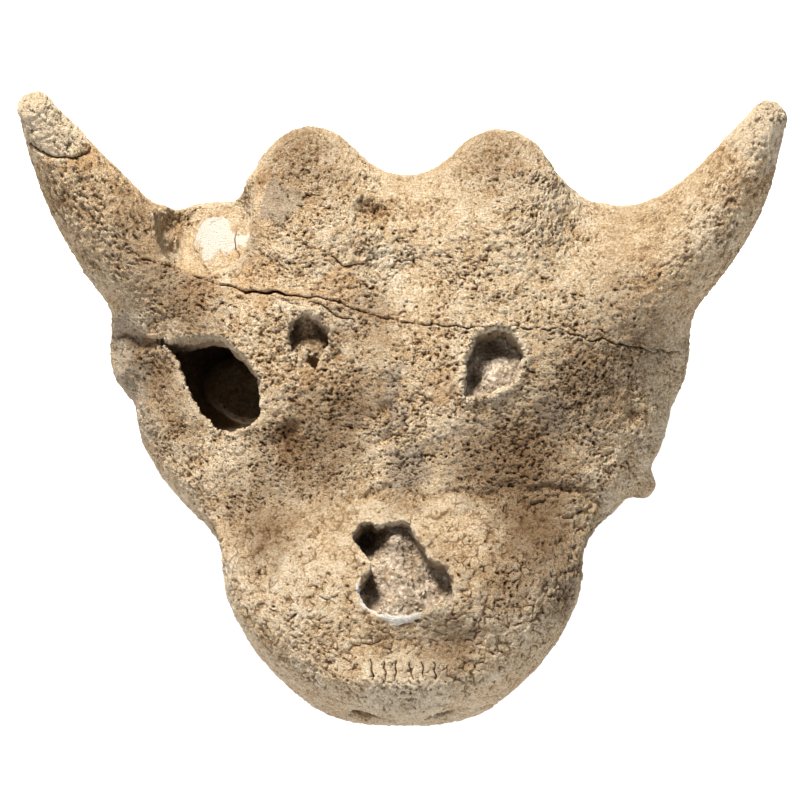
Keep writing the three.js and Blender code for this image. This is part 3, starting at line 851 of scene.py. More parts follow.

# %% [markdown]
# ### Spots
# Named spots are dents and stains of a few millimetres: pits where a vein ran or a flake came off, grey
# patches where sand clings to the bone, pale scrapes and rusty lumps. The wider brown patches are partly
# staining from the soil and partly painted shade, and one pale spot in the broken corner is partly painted light.

# %% Dents and patches
DENTS = [
    # x, y, z, radius, depth
    [-5.2, 1.9, 76.9, 3.2, 1.5], [3.1, 3.9, 77.9, 2.6, 1.2], [-5.2, -7.7, 71.9, 3.2, 1.4],
    [-0.4, 10.7, 81.1, 3.0, 1.0], [-40.5, -7.9, 70.3, 6.0, 2.2], [-38.5, -3.5, 71.5, 3.5, 1.3],
    [42.0, -27.7, 63.1, 2.6, 1.4], [80.0, 3.2, 65.3, 3.2, 1.2], [-12.8, 66.4, 101.1, 3.6, 1.9],
    [-8.0, 65.8, 99.5, 3.0, 1.7], [-15.5, 62.0, 99.5, 2.2, 0.9], [-61.4, -49.9, 51.9, 3.5, 0.8],
    [10.5, -95.5, 52.0, 2.4, 0.35], [1.7, -95.9, 52.6, 2.6, 0.5], [-9.0, -95.0, 51.0, 2.2, 0.3],
    [22.0, -84.0, 57.0, 2.6, 0.8], [-20.5, -80.0, 58.0, 3.0, 0.7], [-1.1, -80.5, 61.7, 9.0, 1.2],
    [19.0, -78.0, 61.5, 6.0, 0.9], [3.1, -15.6, 68.4, 8.0, 0.9], [26.0, -73.5, 60.0, 3.2, 0.8],
    [-22.6, 19.0, 83.0, 2.0, 2.2], [-24.2, 22.0, 84.0, 1.6, 1.6],
    # lumps in the broken corner
    [-79.5, 66.0, 72.0, 3.4, -1.6], [-82.5, 64.5, 75.0, 2.6, -1.3], [-77.0, 67.5, 71.0, 2.4, -1.0],
    [-63.0, 57.0, 78.0, 3.0, -0.9],
]
GREY_SPOTS = [
    [1.8, -16.7, 68.4, 11.0], [-2.4, 8.9, 80.0, 8.0], [-2.0, 0.0, 76.0, 6.0], [-42.9, 68.0, 103.4, 11.0],
    [-93.5, 19.3, 58.0, 14.0], [-88.0, 5.0, 52.0, 12.0], [-96.1, 32.5, 66.5, 12.0], [52.0, 0.0, 72.0, 9.0], [-61.4, -49.9, 51.9, 7.0],
]
PALE_SPOTS = [
    # The first spot, in the broken corner, is partly the broken bone's own pale and partly painted light on a wall
    # that faces away from the key lamp.
    [-79.0, 62.0, 76.0, 9.0], [-121.3, 93.7, 116, 20.0], [123.2, 91.1, 116, 20.0], [0.0, -91.0, 54.0, 20.0],
    [-61.4, -49.9, 51.9, 4.5], [-58.0, 25.0, 78.0, 4.0], [-60.0, 47.0, 86.0, 6.0], [-33.5, 31.5, 83.0, 4.0],
]
FRESH_SPOTS = [
    [-67.0, 67.0, 73.0, 9.0], [-61.5, 66.0, 76.0, 6.0], [-73.5, 56.5, 79.0, 4.6], [-68.0, 56.0, 79.0, 3.8],
]
SPONGE_SPOTS = [
    # bone whose outer skin has gone
    [-33.0, 22.0, 84.0, 24.0], [-46.0, 14.0, 80.0, 16.0], [-45.0, 30.0, 84.0, 16.0], [-44.0, -5.0, 72.0, 13.0],
    [-20.0, 12.0, 82.0, 13.0], [14.0, 16.0, 84.0, 13.0], [-2.0, -4.0, 74.0, 16.0], [2.0, -16.0, 69.0, 13.0],
    [-8.0, 66.0, 100.0, 14.0], [-30.0, 70.0, 103.0, 16.0], [42.0, 64.0, 98.0, 15.0], [20.0, 44.0, 95.0, 14.0],
    [-68.0, 40.0, 86.0, 12.0], [56.0, 30.0, 84.0, 12.0], [0.0, -92.0, 54.0, 18.0], [-30.0, -78.0, 60.0, 14.0],
    [-62.0, -30.0, 60.0, 16.0], [30.0, -40.0, 66.0, 14.0], [-36.0, 82.0, 103.0, 20.0],
    [32.0, 82.0, 103.0, 20.0], [40.0, -10.0, 70.0, 24.0], [-36.0, -14.0, 70.0, 20.0], [62.0, 12.0, 76.0, 22.0],
]
RUST_SPOTS = [
    [-81.0, 67.5, 70.7, 7.0], [-84.0, 64.0, 72.0, 5.0], [-46.5, 78.2, 103.7, 5.5], [-60.3, 68.1, 70.1, 5.0],
    [1.7, -95.9, 52.6, 3.0], [-56.0, 60.0, 84.0, 8.0], [-50.0, 44.0, 90.0, 12.0], [-68.0, 44.0, 88.0, 10.0],
    [-22.0, 40.0, 92.0, 12.0], [-56.8, 30.3, 80.0, 6.0], [-30.0, 13.0, 80.0, 8.0], [14.0, 8.0, 80.0, 8.0],
]

STAIN_AND_SHADE_SPOTS = [
    # brown patches, partly staining from the soil and partly painted shade where the slopes of the forehead, snout and
    # cheeks face away from the key lamp: x, y, z, radius, share
    [-33.8, -13.2, 72, 20.0, 0.75], [-54.5, -27.6, 66, 14.7, 0.6], [-25.1, -3.6, 76, 13.0, 0.5],
    [38.6, -12.6, 70, 21.7, 0.85], [64.6, 11.2, 75, 21.7, 0.75], [49.1, -26.4, 62, 17.5, 0.65],
    [23.1, -18.0, 70, 12.0, 0.55], [82.2, 27.3, 76, 14.0, 0.5], [45.5, -40.8, 62, 18.0, 0.85],
    [9.2, -54.3, 66, 11.9, 0.4], [54.2, -56.7, 55, 14.0, 0.5], [16.0, -77.4, 60, 14.0, 0.65],
    [33.0, -60.0, 62, 13.0, 0.6], [0.0, -26.0, 68, 10.0, 0.4], [-45.9, -42.0, 60, 13.0, 0.65],
    [-93.9, 55.3, 95, 14.0, 0.5], [-82.2, 42.1, 86, 14.0, 0.7], [-87.1, 69.9, 100, 12.6, 0.35],
    [-84.8, 19.7, 66, 13.0, 0.8], [-76.2, 3.3, 60, 13.0, 0.65], [-71.0, 33.0, 82, 12.0, 0.55],
    [-35.5, 83.5, 103, 18.0, 0.55], [-54.0, 60.0, 92, 10.0, 0.45], [31.7, 83.5, 103, 18.0, 0.4],
    [73.3, 39.2, 84, 14.0, 0.4], [-10.0, 34.0, 88, 8.0, 0.5], [-8.0, 22.0, 84, 9.0, 0.4],
    [-15.0, 4.0, 80, 12.0, 0.7], [-22.0, 26.0, 84, 9.0, 0.4],
]

for x, y, z, radius, deep in DENTS:
    carve += deep * spot_share(points, [x, y, z], radius * 1.5, 0.9)
broken = points + wobble(points, 6.0, 4) * 1.6 + wobble(points, 2.0, 5) * 0.7


def spots(rows, soft=0.6):
    share = np.zeros(len(points), np.float32)
    for x, y, z, radius in rows:
        share = np.maximum(share, spot_share(broken, [x, y, z], radius, soft))
    return share


grey = spots(GREY_SPOTS)
pale = spots(PALE_SPOTS)
rust = np.maximum(rust, spots(RUST_SPOTS))
sponge = 0.85 * spots(SPONGE_SPOTS, 0.8)
unstained_unshaded = np.ones(len(points), np.float32)
# Each brown patch dims the bone, partly as staining and partly as painted shade.
for x, y, z, radius, share in STAIN_AND_SHADE_SPOTS:
    unstained_unshaded *= 1 - share * spot_share(broken, [x, y, z], radius * 1.5, 0.9)
stain = 1 - unstained_unshaded

# %% [markdown]
# ### Rims of the holes
# A thin shell of dense bone stands up a little round each hole in the roof, where the spongy bone inside it
# has crumbled away. It is paler than the rest.

# %% Rims
for form, corners, proud in (
    (WINDOW_WELL, TEMPLE_WINDOW, 0.3), (RIGHT_PIT_WELL, RIGHT_PIT, 0.2), (LEFT_PIT_WELL, LEFT_PIT, 0.8),
    (SNOUT_WELL, SNOUT_HOLE, 0.35),
):
    near = form.near(points, 6.0)
    near = near[points[near, 2] > 55]
    away = plan_depth(ragged(points[near]), closed_loop(corners, 4))
    carve[near] -= proud * np.exp(-(((away - 1.0) / 1.1) ** 2))
    pale[near] = np.maximum(pale[near], 0.4 * fade(np.abs(away - 0.4), 0.5, 1.6))

# %% [markdown]
# ### Kinds of bone
# The snout is wrinkled like bark, the horn cores are full of pits drawn out along the horn, and the breaks
# show pale bone from inside. Each point gets a weight for these, and the horns get their own coordinates, in
# which a millimetre along the horn counts for less, so a round pit comes out long.

# %% Weights
snout_share = fade(points[:, 1] + patchy * 3.0, -34, -22) * fade(points[:, 2], 38, 28)
fresh = np.zeros(len(points), np.float32)
for form in (ROOF_BREAK, HORN_BITE):
    near = form.near(points, 4.0)
    fresh[near] = np.maximum(fresh[near], fade(np.abs(form.depth(points[near])), 0.9, 2.2))
fresh = np.maximum(fresh, spot_share(points, [-61, 63, 75], 15.0, 0.2)) * spots(FRESH_SPOTS, 0.35)
fresh = np.maximum(fresh, scar)
horn_share = np.zeros(len(points), np.float32)
horn_place = points.copy()
LONG = 0.42  # what a millimetre along the horn counts
for form in (HORN_LEFT, HORN_RIGHT):
    near = form.near(points, 6.0)
    share, away, offset = form.place(points[near])
    chord = form.axis[-1] - form.axis[0]
    length = np.linalg.norm(chord)
    horn_place[near] = offset + (share[:, None] * LONG) * chord + form.axis[0]
    horn_share[near] = fade(share, 0.42, 0.26) * fade(form.depth(points[near]), 2.0, 6.0)
inner_share = fade(head_depth(points) + patchy * 0.7, -4.0, -2.0)
inner_share *= 1 - np.maximum(fresh, spots([[-69, 67.5, 70, 34.0]], 0.3))
inner_share *= 1 - 0.45 * spot_share(points, [-33, 24, 80], 13.0, 0.3)

# the dome of the ear capsule, seen through the window, is pitted like a horn
DOME = np.array([-55.5, 19.5, 42.0], np.float32)
dome_share = spot_share(points, DOME, 15.0, 0.3)
on_dome = dome_share > 0
grained = np.array([0.75, 0.6, 0.3], np.float32) / np.linalg.norm([0.75, 0.6, 0.3])
from_dome = points[on_dome] - DOME
horn_place[on_dome] = points[on_dome] - 0.6 * (from_dome @ grained)[:, None] * grained
horn_share = np.maximum(horn_share, dome_share)
inner_share *= 1 - 0.6 * dome_share
print("horn", round(float(horn_share.mean()), 3), "snout", round(float(snout_share.mean()), 3),
      "inner", round(float(inner_share.mean()), 3), "fresh", round(float(fresh.mean()), 4))

# %% [markdown]
# ## Nodes for two kinds of tree
# Noise and cell textures look the same to a shader and to Geometry Nodes. A small helper adds them to either,
# so the pores that are cut into the surface can be coloured in the same places.

# %% A helper that lays nodes
class Sheet:
    """Adds nodes to a shader tree or a Geometry Nodes tree."""

    def __init__(self, tree):
        self.tree = tree
        self.geometry = tree.bl_idname == "GeometryNodeTree"

    def node(self, kind, **settings):
        made = self.tree.nodes.new(kind)
        for name, value in settings.items():
            setattr(made, name, value)
        return made

    def feed(self, socket, value):
        if isinstance(value, bpy.types.NodeSocket):
            self.tree.links.new(value, socket)
        else:
            socket.default_value = value

    def point_value(self, name, vector=False):
        """An attribute of the mesh."""
        if self.geometry:
            made = self.node("GeometryNodeInputNamedAttribute", data_type="FLOAT_VECTOR" if vector else "FLOAT")
            made.inputs["Name"].default_value = name
            return next(s for s in made.outputs if s.enabled and s.name == "Attribute")
        made = self.node("ShaderNodeAttribute", attribute_name=name)
        return made.outputs["Vector" if vector else "Fac"]

    def math(self, operation, one, other=0.0, third=0.0, clamp=False):
        made = self.node("ShaderNodeMath", operation=operation, use_clamp=clamp)
        for socket, value in zip(made.inputs, (one, other, third)):
            self.feed(socket, value)
        return made.outputs[0]

    def total(self, *terms):
        made = terms[0]
        for term in terms[1:]:
            made = self.math("ADD", made, term)
        return made

    def times(self, *factors):
        made = factors[0]
        for factor in factors[1:]:
            made = self.math("MULTIPLY", made, factor)
        return made

    def fade(self, value, full, none):
        """1 at one value and 0 at the other, smoothly."""
        made = self.node("ShaderNodeMapRange", interpolation_type="SMOOTHSTEP")
        for name, setting in (("Value", value), ("From Min", none), ("From Max", full)):
            self.feed(made.inputs[name], setting)
        return made.outputs["Result"]

    def noise(self, place, size, detail=2.0, roughness=0.5):
        """Noise of about -1 to 1 with lumps of a size in mm."""
        made = self.node("ShaderNodeTexNoise", noise_dimensions="3D")
        self.feed(made.inputs["Vector"], place)
        self.feed(made.inputs["Scale"], size if isinstance(size, bpy.types.NodeSocket) else 1.0 / size)
        made.inputs["Detail"].default_value = detail
        made.inputs["Roughness"].default_value = roughness
        return self.math("MULTIPLY_ADD", made.outputs[0], 2.0, -1.0)

    def cells(self, place, size, feature="F1"):
        """The distance in mm to the nearest cell's point or edge, and a random number for the cell."""
        made = self.node("ShaderNodeTexVoronoi", feature=feature, voronoi_dimensions="3D")
        self.feed(made.inputs["Vector"], place)
        scale = self.math("DIVIDE", 1.0, size)
        self.feed(made.inputs["Scale"], scale)
        distance = self.math("MULTIPLY", made.outputs["Distance"], size)
        if feature == "DISTANCE_TO_EDGE":
            return distance, None
        split = self.node("ShaderNodeSeparateXYZ")
        self.feed(split.inputs[0], made.outputs["Color"])
        return distance, split.outputs[0]

    def shaken(self, place, size, amount):
        """A place moved about by noise of a size, up to an amount in mm."""
        noise = self.node("ShaderNodeTexNoise", noise_dimensions="3D")
        self.feed(noise.inputs["Vector"], place)
        noise.inputs["Scale"].default_value = 1.0 / size
        noise.inputs["Detail"].default_value = 1.0
        moved = self.node("ShaderNodeVectorMath", operation="MULTIPLY_ADD")
        self.feed(moved.inputs[0], noise.outputs["Color"])
        moved.inputs[1].default_value = (2 * amount, 2 * amount, 2 * amount)
        self.feed(moved.inputs[2], place)
        return moved.outputs[0]

    def blend(self, share, one, other):
        made = self.node("ShaderNodeMix", data_type="FLOAT")
        self.feed(made.inputs[0], share)
        self.feed(made.inputs[2], one)
        self.feed(made.inputs[3], other)
        return made.outputs[0]

    def dimmed(self, one, other):
        """The product of two colours."""
        made = self.node("ShaderNodeMix", data_type="RGBA", blend_type="MULTIPLY")
        for socket, value in ((made.inputs[0], 1.0), (made.inputs[6], one), (made.inputs[7], other)):
            self.feed(socket, value)
        return made.outputs[2]

    def tint(self, share, one, other):
        """One colour turning into another."""
        made = self.node("ShaderNodeMix", data_type="RGBA")
        self.feed(made.inputs[0], share)
        for socket, colour in ((made.inputs[6], one), (made.inputs[7], other)):
            self.feed(socket, (*colour, 1.0) if isinstance(colour, tuple) else colour)
        return made.outputs[2]


# %% [markdown]
# ### Pores and worm lines
# Fossil turtle bone is pocked all over where fine vessels left it, and between the pores it is grained as
# if by tiny worms. A pore is the neighbourhood of a Voronoi cell's point, and a random number of the cell sets
# its width, or leaves it out. A worm line runs where a noise passes through nil.

# %% Pores and worm lines
def pores(sheet, place, spacing, widest, share):
    """1 at the bottom of a pore and 0 on its rim."""
    distance, chance = sheet.cells(place, spacing)
    radius = sheet.math("MULTIPLY", widest, sheet.math("SUBTRACT", chance, sheet.math("SUBTRACT", 1.0, share)))
    radius = sheet.math("MAXIMUM", sheet.math("DIVIDE", radius, share), 0.001)
    return sheet.fade(sheet.math("DIVIDE", distance, radius), 0.35, 1.0)


def worms(sheet, place, size, thin=0.14):
    """1 along fine crooked lines, and 0 beside them."""
    return sheet.fade(sheet.math("ABSOLUTE", sheet.noise(place, size, 1.5)), 0.0, thin)


# %% [markdown]
# ### All marks of the surface
# Both trees ask for the same five marks: wide and small pores, worm lines, the granules and long pits of the
# horns, and the wrinkles of the snout, which follow the edges of bent cells. Where pores crowd and where they
# thin out, and which wrinkles have healed, is left to broad noises.

# %% Marks
def marks_of(sheet):
    """Masks from 0 to 1 of the bone's small marks."""
    rest = sheet.point_value("rest", True)
    horn_rest = sheet.point_value("horn_place", True)
    horned = sheet.point_value("horn")
    wrinkled = sheet.point_value("snout")
    flat = sheet.math("SUBTRACT", 1.0, horned)
    clouds = sheet.fade(sheet.noise(rest, 9.0, 2.0), 0.4, -0.3)
    crowd = sheet.math("MAXIMUM", sheet.blend(clouds, 0.15, 0.85), sheet.point_value("sponge"))
    crowd = sheet.times(crowd, sheet.blend(wrinkled, 1.0, 0.8))
    hollow = sheet.math("SUBTRACT", sheet.noise(rest, 1.5, 3.0, 0.62), sheet.blend(crowd, -0.37, -0.04))
    fleck = sheet.math("SUBTRACT", sheet.noise(rest, 0.7, 3.0, 0.65), sheet.blend(crowd, -0.22, -0.04))
    pore = pores(sheet, sheet.shaken(rest, 1.7, 0.5), 2.6, 0.8, sheet.blend(crowd, 0.3, 0.6))
    clod = sheet.math("SUBTRACT", sheet.noise(horn_rest, 1.5, 3.0, 0.6), -0.07)
    chip = sheet.math("SUBTRACT", sheet.noise(horn_rest, 0.6, 3.0, 0.65), -0.1)
    rough = sheet.fade(sheet.noise(horn_rest, 9.0, 2.0), 0.3, -0.3)
    pit = pores(sheet, sheet.shaken(horn_rest, 1.5, 0.4), 1.9, 0.85, 0.7)
    edge, _ = sheet.cells(sheet.shaken(rest, 6.0, 2.2), 3.9, "DISTANCE_TO_EDGE")
    some = sheet.fade(sheet.noise(rest, 4.0, 2.0), 0.25, -0.15)
    return {
        "hollow": sheet.times(sheet.fade(hollow, -0.22, 0.04), flat),
        "halo": sheet.times(sheet.fade(hollow, -0.1, 0.3), flat),
        "fleck": sheet.times(sheet.fade(fleck, -0.16, 0.04), flat, sheet.blend(wrinkled, 1.0, 0.6)),
        "pore": sheet.times(pore, flat),
        "gap": sheet.times(sheet.fade(clod, -0.25, 0.06), horned, sheet.blend(rough, 0.45, 1.0)),
        "chip": sheet.times(sheet.fade(chip, -0.2, 0.06), horned, sheet.blend(rough, 0.3, 1.0)),
        "pit": sheet.times(pit, horned),
        "wrinkle": sheet.times(sheet.fade(edge, 0.0, 0.42), some, wrinkled),
    }


# %% [markdown]
# ## Weathering with Geometry Nodes
# The same rule wears the whole skull, and a rule is what Geometry Nodes are for. The tree adds low lumps and
# dents, cuts the marks and the named cracks, and moves each point along its normal by the sum. It keeps that
# sum as the point's relief, which the material reads to paint the hollows darker, partly as dust and partly as
# painted shade, and the ridges paler as painted light. All heights are inputs, so the wear can be dialled.

# %% The weathering tree
WEAR = {
    "Lump height": 0.45, "Dent height": 0.75, "Grain height": 0.8, "Hollow depth": 1.1, "Fleck depth": 0.65,
    "Pore depth": 0.8, "Gap depth": 1.0, "Chip depth": 0.35, "Pit depth": 0.7, "Wrinkle depth": 0.75,
}

weather = bpy.data.node_groups.new("weathered_bone", "GeometryNodeTree")
weather.interface.new_socket("Geometry", in_out="INPUT", socket_type="NodeSocketGeometry")
for label, value in WEAR.items():
    weather.interface.new_socket(label, in_out="INPUT", socket_type="NodeSocketFloat").default_value = value
weather.interface.new_socket("Material", in_out="INPUT", socket_type="NodeSocketMaterial")
weather.interface.new_socket("Geometry", in_out="OUTPUT", socket_type="NodeSocketGeometry")

sheet = Sheet(weather)
given = sheet.node("NodeGroupInput").outputs
rest = sheet.point_value("rest", True)
horned = sheet.point_value("horn")
marks = marks_of(sheet)
lumps = sheet.times(sheet.noise(rest, 15.0, 1.0), given["Lump height"])
dents = sheet.times(sheet.noise(rest, 4.6, 2.0, 0.55), given["Dent height"], sheet.blend(horned, 1.0, 0.5))
grain = sheet.times(sheet.noise(rest, 1.8, 2.0, 0.6), given["Grain height"])
cuts = sheet.total(
    sheet.times(marks["hollow"], given["Hollow depth"]),
    sheet.times(marks["fleck"], given["Fleck depth"]),
    sheet.times(marks["pore"], given["Pore depth"]),
    sheet.times(marks["gap"], given["Gap depth"]),
    sheet.times(marks["chip"], given["Chip depth"]),
    sheet.times(marks["pit"], given["Pit depth"]),
    sheet.times(marks["wrinkle"], given["Wrinkle depth"]),
)
smooth = sheet.math("MAXIMUM", sheet.point_value("fresh"), sheet.times(sheet.point_value("inner"), 0.6))
covered = sheet.blend(smooth, 1.0, 0.12)
worn = sheet.total(lumps, sheet.times(sheet.total(dents, grain), covered))
raised = sheet.math("SUBTRACT", worn, sheet.total(sheet.times(cuts, covered), sheet.point_value("carve")))

keep = sheet.node("GeometryNodeStoreNamedAttribute", data_type="FLOAT", domain="POINT")
keep.inputs["Name"].default_value = "relief"
sheet.feed(keep.inputs["Geometry"], given["Geometry"])
sheet.feed(next(s for s in keep.inputs if s.enabled and s.name == "Value"), raised)
outward = sheet.node("ShaderNodeVectorMath", operation="SCALE")
sheet.feed(outward.inputs[0], sheet.node("GeometryNodeInputNormal").outputs[0])
sheet.feed(outward.inputs["Scale"], sheet.math("MULTIPLY", raised, MM))
move = sheet.node("GeometryNodeSetPosition")
sheet.feed(move.inputs["Geometry"], keep.outputs["Geometry"])
sheet.feed(move.inputs["Offset"], outward.outputs[0])
real = sheet.node("GeometryNodeRealizeInstances")
sheet.feed(real.inputs["Geometry"], move.outputs["Geometry"])
dress = sheet.node("GeometryNodeSetMaterial")
sheet.feed(dress.inputs["Geometry"], real.outputs["Geometry"])
sheet.feed(dress.inputs["Material"], given["Material"])
sheet.feed(sheet.node("NodeGroupOutput").inputs["Geometry"], dress.outputs["Geometry"])
print("the weathering tree has", len(weather.nodes), "nodes")


# %% [markdown]
# ### Running a tree
# A tree runs as a modifier on an object. Its inputs are set by their identifiers before it is evaluated, and
# the result is kept as a plain mesh, so no modifier is left on any piece.

# %% From points to a weathered mesh
def mesh_from(name, points, faces):
    """A mesh in metres from points in mm. Faces are arrays of rows, or single rows."""
    mesh = bpy.data.meshes.new(name)
    corners = np.concatenate([part.ravel() for part in faces]).astype(np.int32)
    sizes = np.concatenate([np.full(len(part), part.shape[1]) if part.ndim == 2 else [len(part)] for part in faces])
    mesh.vertices.add(len(points))
    mesh.vertices.foreach_set("co", to_frame(points).astype(np.float32).ravel())
    mesh.loops.add(len(corners))
    mesh.loops.foreach_set("vertex_index", corners)
    mesh.polygons.add(len(sizes))
    starts = np.concatenate([[0], np.cumsum(sizes)[:-1]]).astype(np.int32)
    mesh.polygons.foreach_set("loop_start", starts)
    mesh.update(calc_edges=True)
    return mesh


def write_values(mesh, **values):
    for name, array in values.items():
        array = np.asarray(array, np.float32)
        if array.ndim == 2:
            mesh.attributes.new(name, "FLOAT_VECTOR", "POINT").data.foreach_set("vector", array.ravel())
        else:
            mesh.attributes.new(name, "FLOAT", "POINT").data.foreach_set("value", array)


def read_values(mesh, name):
    attribute = mesh.attributes[name]
    vector = attribute.data_type == "FLOAT_VECTOR"
    array = np.empty(len(attribute.data) * (3 if vector else 1), np.float32)
    attribute.data.foreach_get("vector" if vector else "value", array)
    return array.reshape(-1, 3) if vector else array


def places_of(mesh):
    array = np.empty(len(mesh.vertices) * 3, np.float32)
    mesh.vertices.foreach_get("co", array)
    return array.reshape(-1, 3)


def run_tree(mesh, tree, **settings):
    """The mesh after a Geometry Nodes tree, as a new plain mesh."""
    worker = bpy.data.objects.new("worker", mesh)
    bpy.context.scene.collection.objects.link(worker)
    modifier = worker.modifiers.new("tree", "NODES")
    modifier.node_group = tree
    for socket in tree.interface.items_tree:
        if socket.in_out == "INPUT" and socket.name in settings:
            modifier[socket.identifier] = settings[socket.name]
    settled = worker.evaluated_get(bpy.context.evaluated_depsgraph_get())
    made = bpy.data.meshes.new_from_object(settled)
    bpy.data.objects.remove(worker)
    return made


# %% [markdown]
# ## Materials
# The bone's colour follows a few plain rules: broad clouds of tan and cream, finer mottling, hollows darker
# with dust and painted shade and ridges paler with painted light, pores darkened by their own brown and by
# painted shade, and the named brown patches of staining and painted shade laid over them. Bump adds only the
# grain that is too fine for the mesh. Inner bone is paler and smoother, and what lies in the chambers is brown
# with dirt.

# %% Bone
TAN, CREAM, UMBER = (0.700, 0.510, 0.300), (0.880, 0.745, 0.550), (0.410, 0.245, 0.115)
PORE, RUST, GREY = (0.150, 0.080, 0.034), (0.520, 0.270, 0.090), (0.350, 0.300, 0.245)
INNER, DEEP, HALO = (0.900, 0.850, 0.765), (0.400, 0.260, 0.140), (0.500, 0.280, 0.110)
SEAM = (0.270, 0.145, 0.062)  # the bottom of a wrinkle
STAIN_AND_SHADE_TINT = (0.27, 0.20, 0.13)  # the share of light that a full brown patch of staining and painted shade leaves
# How far each mark darkens towards PORE: the dark of pores, pits and hollows is partly their own brown and partly
# painted shade.
DARKNESS = {"hollow": 0.75, "fleck": 0.65, "pore": 0.95, "gap": 0.75, "chip": 0.8, "pit": 0.95}


def bone_material(name):
    material, tree, shader = shader_material(name)
    sheet = Sheet(tree)
    rest = sheet.point_value("rest", True)
    horned = sheet.point_value("horn")
    relief = sheet.point_value("relief")
    marks = marks_of(sheet)
    broad = sheet.noise(rest, 30.0, 2.0)
    mottle = sheet.noise(rest, 5.5, 3.0, 0.62)
    speck = sheet.noise(rest, 0.8, 4.0, 0.8)
    # The relief paints the hollows darker, partly as dust and partly as painted shade, and the ridges paler as painted
    # light.
    tone = sheet.total(
        0.68, sheet.times(broad, 0.3), sheet.times(mottle, 0.6), sheet.times(speck, 1.6),
        sheet.times(relief, 0.25), sheet.times(horned, -0.2),
    )
    lower = sheet.math("MULTIPLY", tone, 2.0, clamp=True)
    upper = sheet.math("MULTIPLY_ADD", tone, 2.0, -1.0, clamp=True)
    colour = sheet.tint(upper, sheet.tint(lower, UMBER, TAN), CREAM)
    colour = sheet.tint(sheet.times(marks["halo"], 0.5), colour, HALO)
    colour = sheet.tint(sheet.times(marks["wrinkle"], 0.8), colour, SEAM)
    ragged = sheet.times(sheet.noise(rest, 2.2, 3.0, 0.6), 0.9)

    def patch(colour, share, other, strength):
        edge = sheet.fade(sheet.total(share, sheet.times(ragged, sheet.fade(share, 1.0, 0.0))), 0.62, 0.2)
        return sheet.tint(sheet.times(edge, strength), colour, other)

    colour = patch(colour, sheet.point_value("grey"), GREY, 0.5)
    colour = patch(colour, sheet.point_value("rust"), RUST, 0.4)
    # Pale spots and rims; in the broken corner the pale is partly painted light.
    colour = patch(colour, sheet.point_value("pale"), CREAM, 0.5)
    colour = patch(colour, sheet.point_value("fresh"), INNER, 0.9)
    colour = patch(colour, sheet.point_value("inner"), DEEP, 0.8)
    # Pores, pits and hollows darken partly by their own brown and partly by painted shade; the ink of the cracks is
    # their own.
    dark = 0.0
    for mark, strength in DARKNESS.items():
        dark = sheet.math("MAXIMUM", dark, sheet.times(marks[mark], strength))
    hidden = sheet.math("MAXIMUM", sheet.point_value("fresh"), sheet.times(sheet.point_value("inner"), 0.6))
    dark = sheet.times(dark, sheet.blend(hidden, 1.0, 0.1))
    ink = sheet.fade(sheet.math("ABSOLUTE", sheet.point_value("crack")), 0.45, 1.1)
    ink = sheet.times(ink, sheet.fade(sheet.point_value("crack_far"), 1.7, 2.4), 1.15)
    dark = sheet.math("MAXIMUM", dark, ink)
    colour = sheet.tint(sheet.times(dark, 0.85), colour, PORE)
    # Brown patches dim the colour, partly as staining and partly as painted shade.
    colour = sheet.dimmed(sheet.tint(sheet.point_value("stain"), (1.0, 1.0, 1.0), STAIN_AND_SHADE_TINT), colour)
    sheet.feed(shader.inputs["Base Color"], colour)
    sheet.feed(shader.inputs["Roughness"], sheet.blend(sheet.math("MULTIPLY", speck, 0.5, clamp=True), 0.82, 0.95))
    shader.inputs["Specular IOR Level"].default_value = 0.25
    fine = sheet.noise(rest, 0.55, 3.0, 0.8)
    height = sheet.total(sheet.times(fine, 1.6), sheet.times(dark, -0.5))
    bump = sheet.node("ShaderNodeBump")
    bump.inputs["Strength"].default_value = 1.0
    bump.inputs["Distance"].default_value = MM
    sheet.feed(bump.inputs["Height"], height)
    sheet.feed(shader.inputs["Normal"], bump.outputs["Normal"])
    return material


bone = bone_material("bone")

# %% Weather the skull
whole = mesh_from("whole", points, faces)
write_values(
    whole, rest=points, horn_place=horn_place, horn=horn_share, snout=snout_share, inner=inner_share, stain=stain,
    carve=carve, rust=rust, grey=grey, pale=pale, fresh=fresh, sponge=sponge, crack=crack_reach * crack_side,
    crack_far=crack_reach, mark=np.ones(len(points)),
)
skull = run_tree(whole, weather, Material=bone, **WEAR)
worn_places = places_of(skull)
worn_places[:, 2] = np.maximum(worn_places[:, 2], 0.0)  # what rests on the table stays flat
skull.vertices.foreach_set("co", worn_places.ravel())
relief = read_values(skull, "relief")
print("relief runs from", round(float(relief.min()), 2), "to", round(float(relief.max()), 2), "mm")

# %% [markdown]
# ## Sawing it into its pieces
# The real skull is glued from pieces that broke apart along its cracks. Here it is cut by closed blocks, in
# the order in which a preparator might take it apart: tip, horns, snout, knobs, the crown behind the crack,
# the quadrates and the temples. What stays is the braincase. The Boolean keeps both sides closed. The points
# that it adds on a cut take their values and their shading from the two nearest points of the whole skull, so
# no seam can be seen between neighbours.

# %% Blocks to cut with
REACH = 400.0


def beyond(*planes):
    """A closed block of all that lies beyond some planes, each a place and a direction."""
    block = bmesh.new()
    bmesh.ops.create_cube(block, size=2 * REACH)
    for at, along in planes:
        direction = Vector(along).normalized()
        geometry = block.verts[:] + block.edges[:] + block.faces[:]
        cut = bmesh.ops.bisect_plane(block, geom=geometry, plane_co=at, plane_no=direction, clear_inner=True)
        rim = [part for part in cut["geom_cut"] if isinstance(part, bmesh.types.BMEdge)]
        bmesh.ops.contextual_create(block, geom=rim)
    bmesh.ops.recalc_face_normals(block, faces=block.faces[:])
    mesh = bpy.data.meshes.new("block")
    block.to_mesh(mesh)
    block.free()
    mesh.vertices.foreach_set("co", to_frame(places_of(mesh)).astype(np.float32).ravel())
    return mesh


